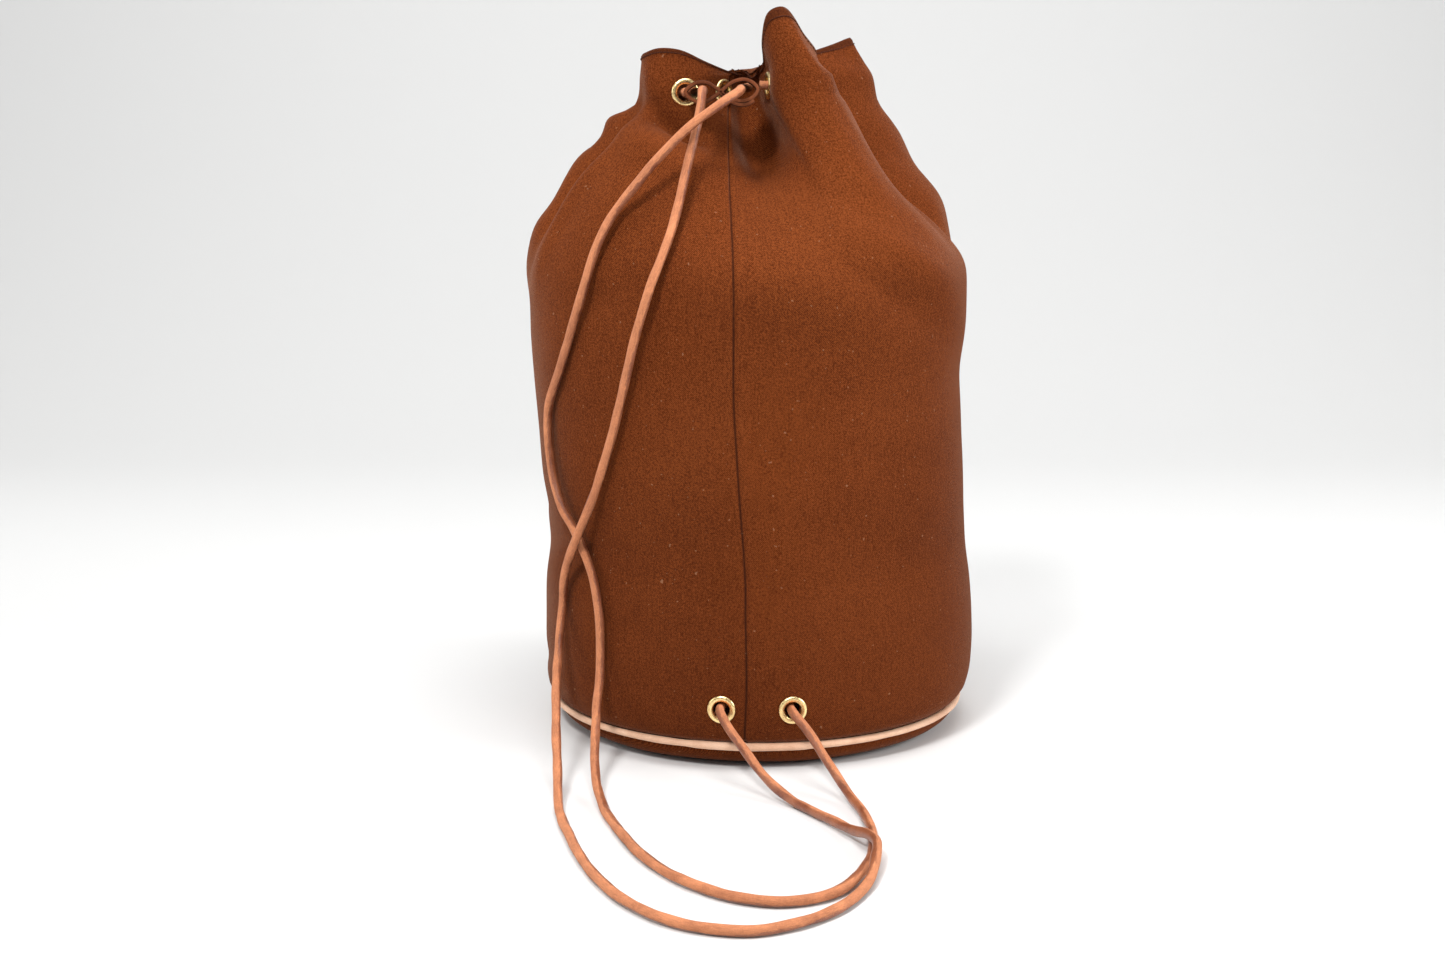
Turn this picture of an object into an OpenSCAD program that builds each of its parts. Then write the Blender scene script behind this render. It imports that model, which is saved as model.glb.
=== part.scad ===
// Drawstring bucket bag: a round canvas bag with a piped base, drawn in at the neck by one leather
// cord, whose two strands run down the front through a slider to two eyelets above the base.
// Millimetres, +Z up. The origin is the middle of the base, on the surface that the bag stands on.
// -Y is the front, where the seam and the two lower eyelets are, and +X is to its right.

/* [Body] */
// Radius of the piped seam round the base
base_r = 119.5; // [118:0.5:121]
// Height of the piped seam above the surface
base_seam_z = 13.5; // [13:0.5:15]
// Radius of the part of the base that rests flat
foot_r = 98; // [80:1:104]
// Thickness of the canvas
canvas_t = 1.5; // [1:0.1:1.6]
// Height of the shoulders, where the neck begins to draw in
shoulder_z = 268; // [262:1:272]

/* [Eyelets] */
// Height of the row of eyelets round the neck
neck_z = 364; // [362:1:366]
// Height of the two lower eyelets
lower_z = 36; // [34:1:40]
// Outer diameter of an eyelet
eyelet_d = 15.5; // [14:0.5:16]
// Diameter of an eyelet's hole
eyelet_hole = 9.2; // [8.6:0.1:9.6]

/* [Cord] */
// Diameter of the leather cord
cord_d = 5; // [4.5:0.1:5.2]

/* [Slider] */
// Width of each of the slider's two loops
loop_w = 21; // [20:0.5:22]
// Height of each loop
loop_h = 13.5; // [13:0.5:14]
// Length of the slider along the cord
slider_len = 13; // [8:1:13]
// Thickness of the slider's strip
strip_t = 2; // [1.6:0.1:2.1]

/* [Piping] */
// Diameter of the leather piping
piping_d = 4.4; // [4:0.2:4.6]
// Diameter of the string inside it
piping_core_d = 2; // [1.6:0.2:2.4]

/* [Hidden] */

canvas_tone = "saddlebrown";
tape_tone = "sienna";
leather_tone = "peru";
brass_tone = "gold";

// The canvas is followed round by stations, 36 to the turn. Station 0 is the eyelet beside the front seam.
stations = 36;
per_station = 2;
first_azimuth = -98;
seam_tape_stations = [0.1, 0.5, 0.9];

// Radius and sideways lean of the stuffed body at each height
body_foot_z = base_seam_z + piping_d / 2 + 0.3;
body_radius = [[16, 119.8], [24, 126], [60, 126], [110, 122.5], [150, 123.5], [200, 124], [240, 126.5],
               [272, 127.5]];
body_lean = [[16, 0], [60, 1], [110, 0], [150, -3], [200, -6], [272, -6]];

// The cloth runs straight up for this far below and above the row of neck eyelets.
neck_band = 9;

// Each neck eyelet: its station and its place. The cloth between one eyelet and the next is one fold.
fold_station = [0, 3, 8, 12, 17, 20, 25, 29, 34, 36];
folds = len(fold_station) - 1;
neck_point = [[-20, -32, 0], [5, -36, 4], [40, -16, 4], [42, 12, 4], [26, 34, -2], [-12, 38, -10], [-44, 26, -10],
              [-46, -6, -6], [-41, -47, 0]];
// How far the middle of each fold stands out from the line between its eyelets
neck_fold = [[2, 16, 0], [17, -29, 0], [-26, 0, 0], [31, 22, 0], [-2, -16, 0], [-14, 37, 0], [26, 0, 0],
             [-28, -4, 0], [2, -3, 0]];
// The same for the hem, which is the top edge of the cloth
hem_point = [[-16, -25, 376], [2, -32, 380], [26, -8, 386], [30, 14, 388], [18, 32, 380], [-8, 36, 371],
             [-34, 26, 370], [-38, -8, 374], [-44, -46, 387]];
hem_fold = [[2, 9, -4], [-1, -32, 29], [-16, 0, -6], [28, 18, 14], [-2, -10, -4], [-12, 30, 0], [16, 0, -2],
            [-26, -4, 5], [2, 0, -2]];

function wrap(i) = (i + folds) % folds;
function fold_of(s) = max([for (i = [0:folds - 1]) if (fold_station[i] <= s) i]);
function folded(point, fold, s) =
    let (i = fold_of(s), t = (s - fold_station[i]) / (fold_station[i + 1] - fold_station[i]))
    point[i] * (1 - t) + point[wrap(i + 1)] * t + fold[i] * sin(180 * t);

function on_body(azimuth, z) =
    lookup(z, body_radius) * [cos(azimuth), sin(azimuth), 0] + [lookup(z, body_lean), 0, z];
function neck_at(s, rise) = folded(neck_point, neck_fold, s) + [0, 0, neck_z + rise];

// A point of the cloth's outer face. t runs from 0 to 1 up the body, to 2 where the neck begins,
// to 3 over the band that holds the eyelets and to 4 at the hem.
function cloth_at(station, t) =
    let (s = (station + stations) % stations, azimuth = first_azimuth + 360 * s / stations)
    t <= 1 ? on_body(azimuth, body_foot_z + (shoulder_z - body_foot_z) * t)
    : t <= 2 ? on_body(azimuth, shoulder_z) * (2 - t) + neck_at(s, -neck_band) * (t - 1)
    : t <= 3 ? neck_at(s, neck_band * (2 * t - 5))
    : neck_at(s, neck_band) * (4 - t) + folded(hem_point, hem_fold, s) * (t - 3);
eyelet_row = 2.5;
function height_on_body(z) = (z - body_foot_z) / (shoulder_z - body_foot_z);

// The direction out of the bag at a point of the cloth, level with the ground
function outward(s, t) =
    let (d = cloth_at(s + 0.4, t) - cloth_at(s - 0.4, t))
    [d[1], -d[0], 0] / norm([d[0], d[1]]);
function inset(s, t, depth) = cloth_at(s, t) - outward(s, t) * depth;

// A closed sheet between two depths inside the cloth's outer face. It goes right round, or from the
// first column to the last.
module cloth_sheet(columns, levels, depth_out, depth_in, all_round = false) {
    n = len(columns);
    m = len(levels);
    spans = all_round ? n - 1 : n - 2;
    outer = [for (t = levels) for (s = columns) inset(s, t, depth_out)];
    inner = [for (t = levels) for (s = columns) inset(s, t, depth_in)];
    function out(j, k) = j * n + k % n;
    function in(j, k) = n * m + j * n + k % n;
    walls = [for (j = [0:m - 2]) for (k = [0:spans])
        [[out(j, k), out(j + 1, k), out(j + 1, k + 1)], [out(j, k), out(j + 1, k + 1), out(j, k + 1)],
         [in(j, k), in(j + 1, k + 1), in(j + 1, k)], [in(j, k), in(j, k + 1), in(j + 1, k + 1)]]];
    rims = [for (k = [0:spans])
        [[out(0, k), out(0, k + 1), in(0, k + 1)], [out(0, k), in(0, k + 1), in(0, k)],
         [out(m - 1, k), in(m - 1, k + 1), out(m - 1, k + 1)], [out(m - 1, k), in(m - 1, k), in(m - 1, k + 1)]]];
    ends = all_round ? [] : [for (j = [0:m - 2])
        [[out(j, 0), in(j, 0), in(j + 1, 0)], [out(j, 0), in(j + 1, 0), out(j + 1, 0)],
         [out(j, n - 1), in(j + 1, n - 1), in(j, n - 1)], [out(j, n - 1), out(j + 1, n - 1), in(j + 1, n - 1)]]];
    faces = [for (patch = concat(walls, rims, ends)) for (f = patch) f];
    polyhedron(points = concat(outer, inner), faces = faces, convexity = 8);
}
every_station = [for (k = [0:stations * per_station - 1]) k / per_station];

// Turns +Z to point along a direction
module aim(dir) {
    rotate([0, acos(dir[2] / norm(dir)), atan2(dir[1], dir[0])]) children();
}

// The two lower eyelets, by their direction from the middle of the bag
left_azimuth = -100;
right_azimuth = -82.5;
module at_lower(azimuth) {
    translate(on_body(azimuth, lower_z)) aim([cos(azimuth), sin(azimuth), 0]) children();
}
module at_neck_eyelets() {
    for (i = [0:folds - 1])
        translate(cloth_at(fold_station[i], eyelet_row)) aim(outward(fold_station[i], eyelet_row)) children();
}
barrel_t = 0.5;
module punched_hole() {
    rotate([0, 0, 25]) cylinder(d = eyelet_hole + 2 * barrel_t + 0.2, h = 14, center = true, $fn = 32);
}

// An eyelet's domed flange and barrel. z = 0 is the cloth's face, and grip is the cloth it holds.
flange_h = 1.4;
washer_t = 0.9;
module eyelet(grip) {
    r_in = eyelet_hole / 2;
    r_out = eyelet_d / 2;
    rotate_extrude($fn = 48) polygon([
        [r_in, 0.9], [r_in + 0.5, flange_h], [r_in + 1.6, flange_h + 0.1], [r_out - 0.7, 0.9], [r_out, 0.2],
        [r_out, 0.05], [r_in + barrel_t, 0.05], [r_in + barrel_t, -grip - washer_t - 0.1],
        [r_in + 1.5, -grip - washer_t - 0.2], [r_in + 1.4, -grip - washer_t - 0.6],
        [r_in, -grip - washer_t - 0.6]]);
}
module washer(grip) {
    rotate_extrude($fn = 48) translate([eyelet_hole / 2 + barrel_t + 0.05, -grip - washer_t])
        square([(eyelet_d - eyelet_hole) / 2 - barrel_t - 0.3, washer_t - 0.05]);
}

// Depths of the layers under the cloth's outer face
facing_out = canvas_t + 0.1;
facing_in = facing_out + 1.1;
binding_out = canvas_t + 0.4;
binding_in = binding_out + 0.8;
patch_out = binding_in + 0.3;
patch_in = patch_out + 1;
neck_grip = facing_in + 0.1;
lower_grip = patch_in + 0.1;

// Levels of the cloth's facets, from the base seam to the neck
wall_levels = [0, 0.03, 0.18, 0.38, 0.55, 0.75, 0.9, 1, 1.3, 1.6, 1.85];

module wall_canvas() {
    color(canvas_tone) difference() {
        cloth_sheet(every_station, concat(wall_levels, [2, 3, 3.5, 4]), 0, canvas_t, all_round = true);
        at_neck_eyelets() punched_hole();
        at_lower(left_azimuth) punched_hole();
        at_lower(right_azimuth) punched_hole();
    }
}
module mouth_facing() {
    color(tape_tone) difference() {
        cloth_sheet(every_station, [2, 3, 3.5, 3.9], facing_out, facing_in, all_round = true);
        at_neck_eyelets() punched_hole();
    }
}
// Tape over the raw edges of the front seam, inside
module seam_binding() {
    color(tape_tone)
        cloth_sheet(seam_tape_stations, wall_levels, binding_out, binding_in);
}
// Doubled canvas behind the two lower eyelets, which carry the bag's weight
module eyelet_patch() {
    color(canvas_tone) difference() {
        cloth_sheet([for (k = [0:6]) -1.6 + k * 0.7], [for (z = [24, 36, 50]) height_on_body(z)],
                    patch_out, patch_in);
        at_lower(left_azimuth) punched_hole();
        at_lower(right_azimuth) punched_hole();
    }
}

// The base is a shallow dish: flat where it rests, and turned up to meet the piping.
base_edge_r = base_r - 1;
base_edge_z = base_seam_z - piping_d / 2 - 0.3;
module base_canvas() {
    steps = 8;
    curve = [for (k = [0:steps]) let (a = 90 * k / steps)
        [foot_r + (base_edge_r - foot_r) * sin(a), base_edge_z * (1 - cos(a))]];
    lifted = [for (p = curve) [p[0] - canvas_t * p[1] / base_edge_z, max(canvas_t, p[1] + 0.2)]];
    color(canvas_tone) rotate_extrude($fn = 96)
        polygon(concat([[0, 0]], curve, [for (k = [steps:-1:0]) lifted[k]], [[0, canvas_t]]));
}
// Leather strip folded round the piping string, with its two edges sewn into the seam
flange_len = 8;
module piping_cover() {
    color(leather_tone) rotate_extrude($fn = 96) difference() {
        union() {
            translate([base_r, base_seam_z]) circle(d = piping_d, $fn = 24);
            translate([base_r - piping_d / 2 - flange_len, base_seam_z - 0.7]) square([flange_len + 0.5, 1.4]);
        }
        translate([base_r, base_seam_z]) circle(d = piping_core_d + 0.1, $fn = 24);
    }
}
module piping_core() {
    color("beige") rotate_extrude($fn = 96) translate([base_r, base_seam_z]) circle(d = piping_core_d, $fn = 24);
}
// Tape folded over the edges of the base seam, inside
module base_binding() {
    r = base_r - piping_d / 2 - flange_len;
    color(tape_tone) rotate_extrude($fn = 96) translate([r, base_seam_z]) difference() {
        translate([-1, -1.7]) square([6, 3.4]);
        translate([-0.1, -0.8]) square([6, 1.6]);
    }
}

module neck_eyelets() { color(brass_tone) at_neck_eyelets() eyelet(neck_grip); }
module neck_washers() { color(brass_tone) at_neck_eyelets() washer(neck_grip); }
module lower_eyelet_left() { color(brass_tone) at_lower(left_azimuth) eyelet(lower_grip); }
module lower_eyelet_right() { color(brass_tone) at_lower(right_azimuth) eyelet(lower_grip); }
module lower_washer_left() { color(brass_tone) at_lower(left_azimuth) washer(lower_grip); }
module lower_washer_right() { color(brass_tone) at_lower(right_azimuth) washer(lower_grip); }

// Slider: one strip bent into two loops side by side. The cord's two strands run through them along Y.
slider_front = -67;
left_loop = [-31.5, 364];
right_loop = [left_loop[0] + loop_w - strip_t / 2, 365];
module lens(w, h) {
    // Two arcs that meet in points at the sides
    r = (w * w / h + h) / 4;
    intersection() {
        translate([0, r - h / 2]) circle(r = r, $fn = 64);
        translate([0, h / 2 - r]) circle(r = r, $fn = 64);
    }
}
module loops(w, h, reach) {
    for (c = [left_loop, right_loop])
        translate([c[0], slider_front + slider_len + reach, c[1]]) rotate([90, 0, 0])
            linear_extrude(slider_len + 2 * reach) lens(w, h);
}
module slider_strip() {
    color(canvas_tone) difference() {
        loops(loop_w, loop_h, 0);
        loops(loop_w - 2 * strip_t, loop_h - 2 * strip_t, 1);
    }
}
waist = (left_loop + right_loop) / 2;
module slider_stitching() {
    color(tape_tone) for (k = [0:3])
        translate([waist[0], slider_front + slider_len * (k + 0.5) / 4, waist[1]])
            cylinder(d = 0.8, h = 3.4, center = true, $fn = 16);
}

// Cords: a tube swept along its route's own points
function unit(v) = v / norm(v);
function heading(p, i) = unit(p[min(i + 1, len(p) - 1)] - p[max(i - 1, 0)]);
function carried(p, i, u) =
    i == len(p) ? [] : let (t = heading(p, i), v = unit(u - t * (u * t))) concat([v], carried(p, i + 1, v));
module tube(route, d, sides = 10) {
    n = len(route);
    side = carried(route, 0, unit(cross(heading(route, 0), [0.2, 0.3, 1])));
    points = [for (i = [0:n - 1]) let (t = heading(route, i), u = side[i], w = cross(t, u))
        for (k = [0:sides - 1]) route[i] + (u * cos(360 * k / sides) + w * sin(360 * k / sides)) * d / 2];
    function at(i, k) = i * sides + k % sides;
    skin = [for (i = [0:n - 2]) for (k = [0:sides - 1])
        [[at(i, k), at(i + 1, k + 1), at(i, k + 1)], [at(i, k), at(i + 1, k), at(i + 1, k + 1)]]];
    faces = concat([for (pair = skin) for (f = pair) f], [[for (k = [0:sides - 1]) at(0, k)]],
                   [[for (k = [sides - 1:-1:0]) at(n - 1, k)]]);
    polyhedron(points = points, faces = faces, convexity = 6);
}

// Each strand: from its knot, out of a lower eyelet, over the ground, up the front and through the slider
route_left = [[-19, -109, 36], [-21, -118, 36], [-22, -129, 36], [-18, -138, 31], [-10, -148, 22],
              [2, -162, 10], [16, -179, 3], [32, -204, 3], [44, -228, 5], [50, -242, 8], [53, -254, 9],
              [52, -268, 8], [49, -284, 5], [41, -306, 3], [28, -326, 3], [10, -341, 3], [-8, -348, 3],
              [-28, -345, 3], [-47, -334, 3], [-64, -314, 3], [-83, -274, 3], [-96, -228, 3], [-104, -190, 3],
              [-107, -160, 12], [-110, -130, 28], [-112, -100, 46], [-112, -76, 62], [-111, -66, 78],
              [-109, -70, 98], [-102, -85, 120], [-93, -94, 142], [-84, -101, 168], [-77, -108, 193],
              [-66, -118, 238], [-58, -122, 264], [-50, -116, 284], [-44, -105, 304], [-39, -96, 326],
              [-34, -90, 346], [-32, -84, 358], [-31.5, -76, 364], [-31.5, -60, 364], [-33, -56, 364],
              [-37, -52, 364]];
route_right = [[15, -109, 36], [16, -118, 36], [17, -130, 36], [24, -140, 30], [35, -155, 16], [44, -172, 6],
               [51, -198, 3], [53, -230, 3], [50, -258, 3], [42, -284, 3], [28, -306, 3], [8, -315, 3],
               [-13, -310, 3], [-34, -294, 3], [-54, -266, 3], [-71, -224, 3], [-82, -184, 3], [-87, -158, 8],
               [-89, -134, 20], [-89, -112, 36], [-88, -98, 53], [-88, -96, 71], [-90, -92, 92],
               [-95, -83, 108], [-102, -76, 123], [-110, -69, 136], [-117, -60, 162], [-118, -60, 188],
               [-110, -76, 214], [-101, -89, 241], [-93, -98, 266], [-86, -99, 286], [-77, -97, 302],
               [-64, -97, 318], [-50, -98, 334], [-36, -98, 347], [-22, -94, 357], [-13, -86, 363],
               [-11, -76, 365], [-11, -60, 365], [-11, -55, 365], [-10, -49, 366], [-6, -43, 367]];
module cord_left() { color(leather_tone) tube(route_left, cord_d); }
module cord_right() { color(leather_tone) tube(route_right, cord_d); }

// The same cord between the two strands: in and out of the neck's eyelets, all the way round.
// It passes the eyelet beside the seam by.
neck_way = [8, 7, 6, 5, 4, 3, 2, 1];
pass = 5;
function through(i, side) =
    cloth_at(fold_station[i], eyelet_row) + outward(fold_station[i], eyelet_row) * pass * side;
neck_route = [for (k = [0:len(neck_way) - 1]) let (side = k % 2 == 0 ? 1 : -1)
    for (way = [side, -side]) through(neck_way[k], way)];
module neck_cord() {
    color(leather_tone) tube(neck_route, cord_d);
}

// A knot on each end of the cord, inside the bag, with a short tail
knot_d = 13;
module knot(start, azimuth) {
    color(leather_tone) translate(start) aim([cos(azimuth), sin(azimuth), 0]) {
        difference() {
            translate([0, 0, -knot_d / 2 + 0.8]) sphere(d = knot_d, $fn = 32);
            translate([0, 0, knot_d / 2]) cube(knot_d, center = true);
        }
        translate([0, 0, -knot_d - 6]) cylinder(d = cord_d, h = 8, $fn = 24);
    }
}
module knot_left() { knot(route_left[0], left_azimuth); }
module knot_right() { knot(route_right[0], right_azimuth); }

wall_canvas();
mouth_facing();
seam_binding();
base_canvas();
piping_cover();
piping_core();
base_binding();
eyelet_patch();
neck_eyelets();
neck_washers();
lower_eyelet_left();
lower_eyelet_right();
lower_washer_left();
lower_washer_right();
neck_cord();
cord_left();
cord_right();
knot_left();
knot_right();
slider_strip();
slider_stitching();
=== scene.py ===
"""Drawstring bucket bag: the looks of a canvas bag that one leather cord draws in at the neck.

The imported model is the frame. Every place below is in its own frame, in metres: +Z up, -Y to the front.
"""

import logging
import math
from collections.abc import Callable, Iterable, Sequence
from dataclasses import dataclass
from enum import Enum
from typing import Any, Union

import bmesh
import bpy
import numpy as np
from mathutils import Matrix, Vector


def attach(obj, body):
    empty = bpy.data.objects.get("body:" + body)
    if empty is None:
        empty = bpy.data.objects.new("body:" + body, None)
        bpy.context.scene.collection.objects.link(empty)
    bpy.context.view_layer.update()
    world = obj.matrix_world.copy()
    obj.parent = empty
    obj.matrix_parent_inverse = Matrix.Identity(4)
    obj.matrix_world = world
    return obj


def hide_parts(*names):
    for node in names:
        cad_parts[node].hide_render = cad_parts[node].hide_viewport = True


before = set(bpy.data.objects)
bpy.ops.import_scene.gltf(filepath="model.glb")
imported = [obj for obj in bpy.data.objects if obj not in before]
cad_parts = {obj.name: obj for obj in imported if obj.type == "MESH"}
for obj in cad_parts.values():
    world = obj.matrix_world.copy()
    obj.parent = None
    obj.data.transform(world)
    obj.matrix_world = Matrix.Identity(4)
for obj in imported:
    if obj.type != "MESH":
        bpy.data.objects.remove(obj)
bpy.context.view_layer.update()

log = logging.getLogger("bucket_bag")
MM = 0.001
Obj = bpy.types.Object
Socket = bpy.types.NodeSocket
# What a shader input takes: a socket, a number or a colour
Value = Union[Socket, float, tuple]


class Body(Enum):
    """The two bodies of the frame."""

    BAG = "bag"
    SLIDER = "slider"


class Slot(Enum):
    """The record's material slots."""

    CANVAS = "canvas"
    TAPE = "canvas_tape"
    PIPING = "piping_leather"
    CORD = "cord_leather"
    STRING = "cotton_string"
    SLIDER = "slider_cloth"
    THREAD = "thread"
    BRASS = "brass"


# ---- Shaders ----


class Graph:
    """A node tree with short ways to add and join nodes."""

    def __init__(self, tree: bpy.types.NodeTree) -> None:
        """Takes the tree to add nodes to."""
        self.tree = tree

    def add(self, kind: str, **settings: Any) -> bpy.types.Node:
        """Adds a node.

        Args:
            kind: The node's type.
            settings: Its properties; an input's value is given as in_NAME.

        Returns:
            The node.
        """
        node = self.tree.nodes.new(kind)
        for key, value in settings.items():
            if key.startswith("in_"):
                node.inputs[key[3:].replace("_", " ")].default_value = value
            else:
                setattr(node, key, value)
        return node

    def join(self, source: Value, target: Socket) -> None:
        """Links a socket to an input, or gives the input a number or a colour."""
        if isinstance(source, Socket):
            self.tree.links.new(source, target)
        else:
            target.default_value = (*source, 1.0) if isinstance(source, tuple) else source

    def math(self, operation: str, *values: Value) -> Socket:
        """Adds a Math node whose inputs are sockets or numbers, and returns its output."""
        node = self.add("ShaderNodeMath", operation=operation)
        for value, target in zip(values, node.inputs):
            self.join(value, target)
        return node.outputs[0]

    def times(self, first: Value, second: Value) -> Socket:
        """Multiplies two values."""
        return self.math("MULTIPLY", first, second)

    def total(self, *terms: tuple) -> Socket:
        """Adds up terms, each a value and its weight."""
        result = self.times(*terms[0])
        for term in terms[1:]:
            result = self.math("ADD", result, self.times(*term))
        return result

    def span(self, value: Value, low: float, high: float, to_low: float, to_high: float) -> Socket:
        """Maps a value smoothly from one range to another, and returns the result."""
        node = self.add(
            "ShaderNodeMapRange", interpolation_type="SMOOTHSTEP",
            in_From_Min=low, in_From_Max=high, in_To_Min=to_low, in_To_Max=to_high,
        )
        self.join(value, node.inputs["Value"])
        return node.outputs["Result"]

    def noise(self, vector: Value, scale: float, detail: float = 3.0, rough: float = 0.55) -> Socket:
        """Adds a Noise texture on a vector, and returns its value."""
        node = self.add("ShaderNodeTexNoise", in_Scale=scale, in_Detail=detail, in_Roughness=rough)
        self.join(vector, node.inputs["Vector"])
        return node.outputs[0]

    def blend(self, factor: Value, first: Value, second: Value) -> Socket:
        """Mixes two colours, each a socket or a tuple, and returns the result."""
        node = self.add("ShaderNodeMix", data_type="RGBA")
        for value, place in ((factor, 0), (first, 6), (second, 7)):
            self.join(value, node.inputs[place])
        return node.outputs[2]

    def split(self, vector: Value) -> list:
        """Returns a vector's three parts."""
        node = self.add("ShaderNodeSeparateXYZ")
        self.join(vector, node.inputs[0])
        return list(node.outputs)

    def merge(self, x: Value, y: Value, z: Value) -> Socket:
        """Returns the vector that three values make."""
        node = self.add("ShaderNodeCombineXYZ")
        for value, target in zip((x, y, z), node.inputs):
            self.join(value, target)
        return node.outputs[0]

    def solid(self) -> Socket:
        """Returns the place in the piece's own frame, in metres."""
        return self.add("ShaderNodeTexCoord").outputs["Object"]

    def flat(self) -> Socket:
        """Returns the place in the piece's UV map."""
        return self.add("ShaderNodeUVMap").outputs[0]


def new_group(name: str, inputs: dict, outputs: tuple) -> tuple:
    """Makes an empty shader node group that reads a Vector.

    Args:
        name: The group's name.
        inputs: The name and default of each number that it takes.
        outputs: The name of each number that it gives.

    Returns:
        The group's Graph, its input node and its output node.
    """
    tree = bpy.data.node_groups.new(name, "ShaderNodeTree")
    tree.interface.new_socket("Vector", in_out="INPUT", socket_type="NodeSocketVector")
    for label, value in inputs.items():
        tree.interface.new_socket(label, in_out="INPUT", socket_type="NodeSocketFloat").default_value = value
    for label in outputs:
        tree.interface.new_socket(label, in_out="OUTPUT", socket_type="NodeSocketFloat")
    graph = Graph(tree)
    return graph, graph.add("NodeGroupInput"), graph.add("NodeGroupOutput")


def twill_group() -> bpy.types.NodeTree:
    """Makes the weave of a fine twill from a vector in metres along the cloth.

    Returns:
        A group with the threads' Height and a Slub mask.
    """
    graph, given, out = new_group("Twill weave", {"Pitch": 0.0007, "Irregular": 0.25}, ("Height", "Slub"))
    vector = given.outputs["Vector"]
    across, up, _ = graph.split(vector)
    wander = graph.math("SUBTRACT", graph.noise(vector, 900.0, 2.0), 0.5)
    shift = graph.times(wander, given.outputs["Irregular"])
    turns = graph.math("DIVIDE", 2 * math.pi, given.outputs["Pitch"])
    warp, weft = graph.times(across, turns), graph.times(up, turns)
    rib = graph.math("SINE", graph.math("ADD", graph.math("ADD", warp, weft), graph.times(shift, 18.0)))
    thread = graph.math("SINE", graph.times(graph.math("SUBTRACT", warp, weft), 2.0))
    height = graph.total((rib, 0.36), (thread, 0.14))
    graph.join(graph.math("ADD", height, 0.5), out.inputs["Height"])
    stretch = graph.add("ShaderNodeMapping", in_Scale=(1.0, 0.08, 1.0))
    graph.join(vector, stretch.inputs["Vector"])
    graph.join(graph.noise(stretch.outputs[0], 800.0, 2.0), out.inputs["Slub"])
    return graph.tree


def grain_group() -> bpy.types.NodeTree:
    """Makes leather's grain: fine pores and slow changes of tone.

    Returns:
        A group with the pores' Height and a Tone mask.
    """
    graph, given, out = new_group("Leather grain", {"Size": 0.0005}, ("Height", "Tone"))
    cells = graph.add("ShaderNodeTexVoronoi", feature="DISTANCE_TO_EDGE")
    graph.join(given.outputs["Vector"], cells.inputs["Vector"])
    graph.join(graph.math("DIVIDE", 1.0, given.outputs["Size"]), cells.inputs["Scale"])
    graph.join(graph.span(cells.outputs["Distance"], 0.0, 0.35, 0.0, 1.0), out.inputs["Height"])
    graph.join(graph.noise(given.outputs["Vector"], 70.0, 5.0), out.inputs["Tone"])
    return graph.tree


class Shared:
    """The shader groups that more than one finish places, each built once."""

    twill = None
    grain = None

    @classmethod
    def build(cls) -> None:
        """Builds the groups."""
        cls.twill = twill_group()
        cls.grain = grain_group()


def shell(name: str, roughness: float, **fixed: Any) -> tuple:
    """Starts a material.

    Args:
        name: The material's name.
        roughness: The Principled shader's roughness.
        fixed: Other inputs that are the same all over, with _ for a space.

    Returns:
        The material, its Graph and its Principled shader.
    """
    material = bpy.data.materials.new(name)
    material.use_nodes = True
    graph = Graph(material.node_tree)
    shader = material.node_tree.nodes["Principled BSDF"]
    for key, value in {"Roughness": roughness, **fixed}.items():
        graph.join(value, shader.inputs[key.replace("_", " ")])
    return material, graph, shader


def relief(graph: Graph, shader: bpy.types.Node, height: Socket, depth: float, strength: float) -> None:
    """Bumps a shader's surface by a height, depth metres deep."""
    bump = graph.add("ShaderNodeBump", in_Strength=strength, in_Distance=depth)
    graph.join(height, bump.inputs["Height"])
    graph.join(bump.outputs[0], shader.inputs["Normal"])


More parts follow.
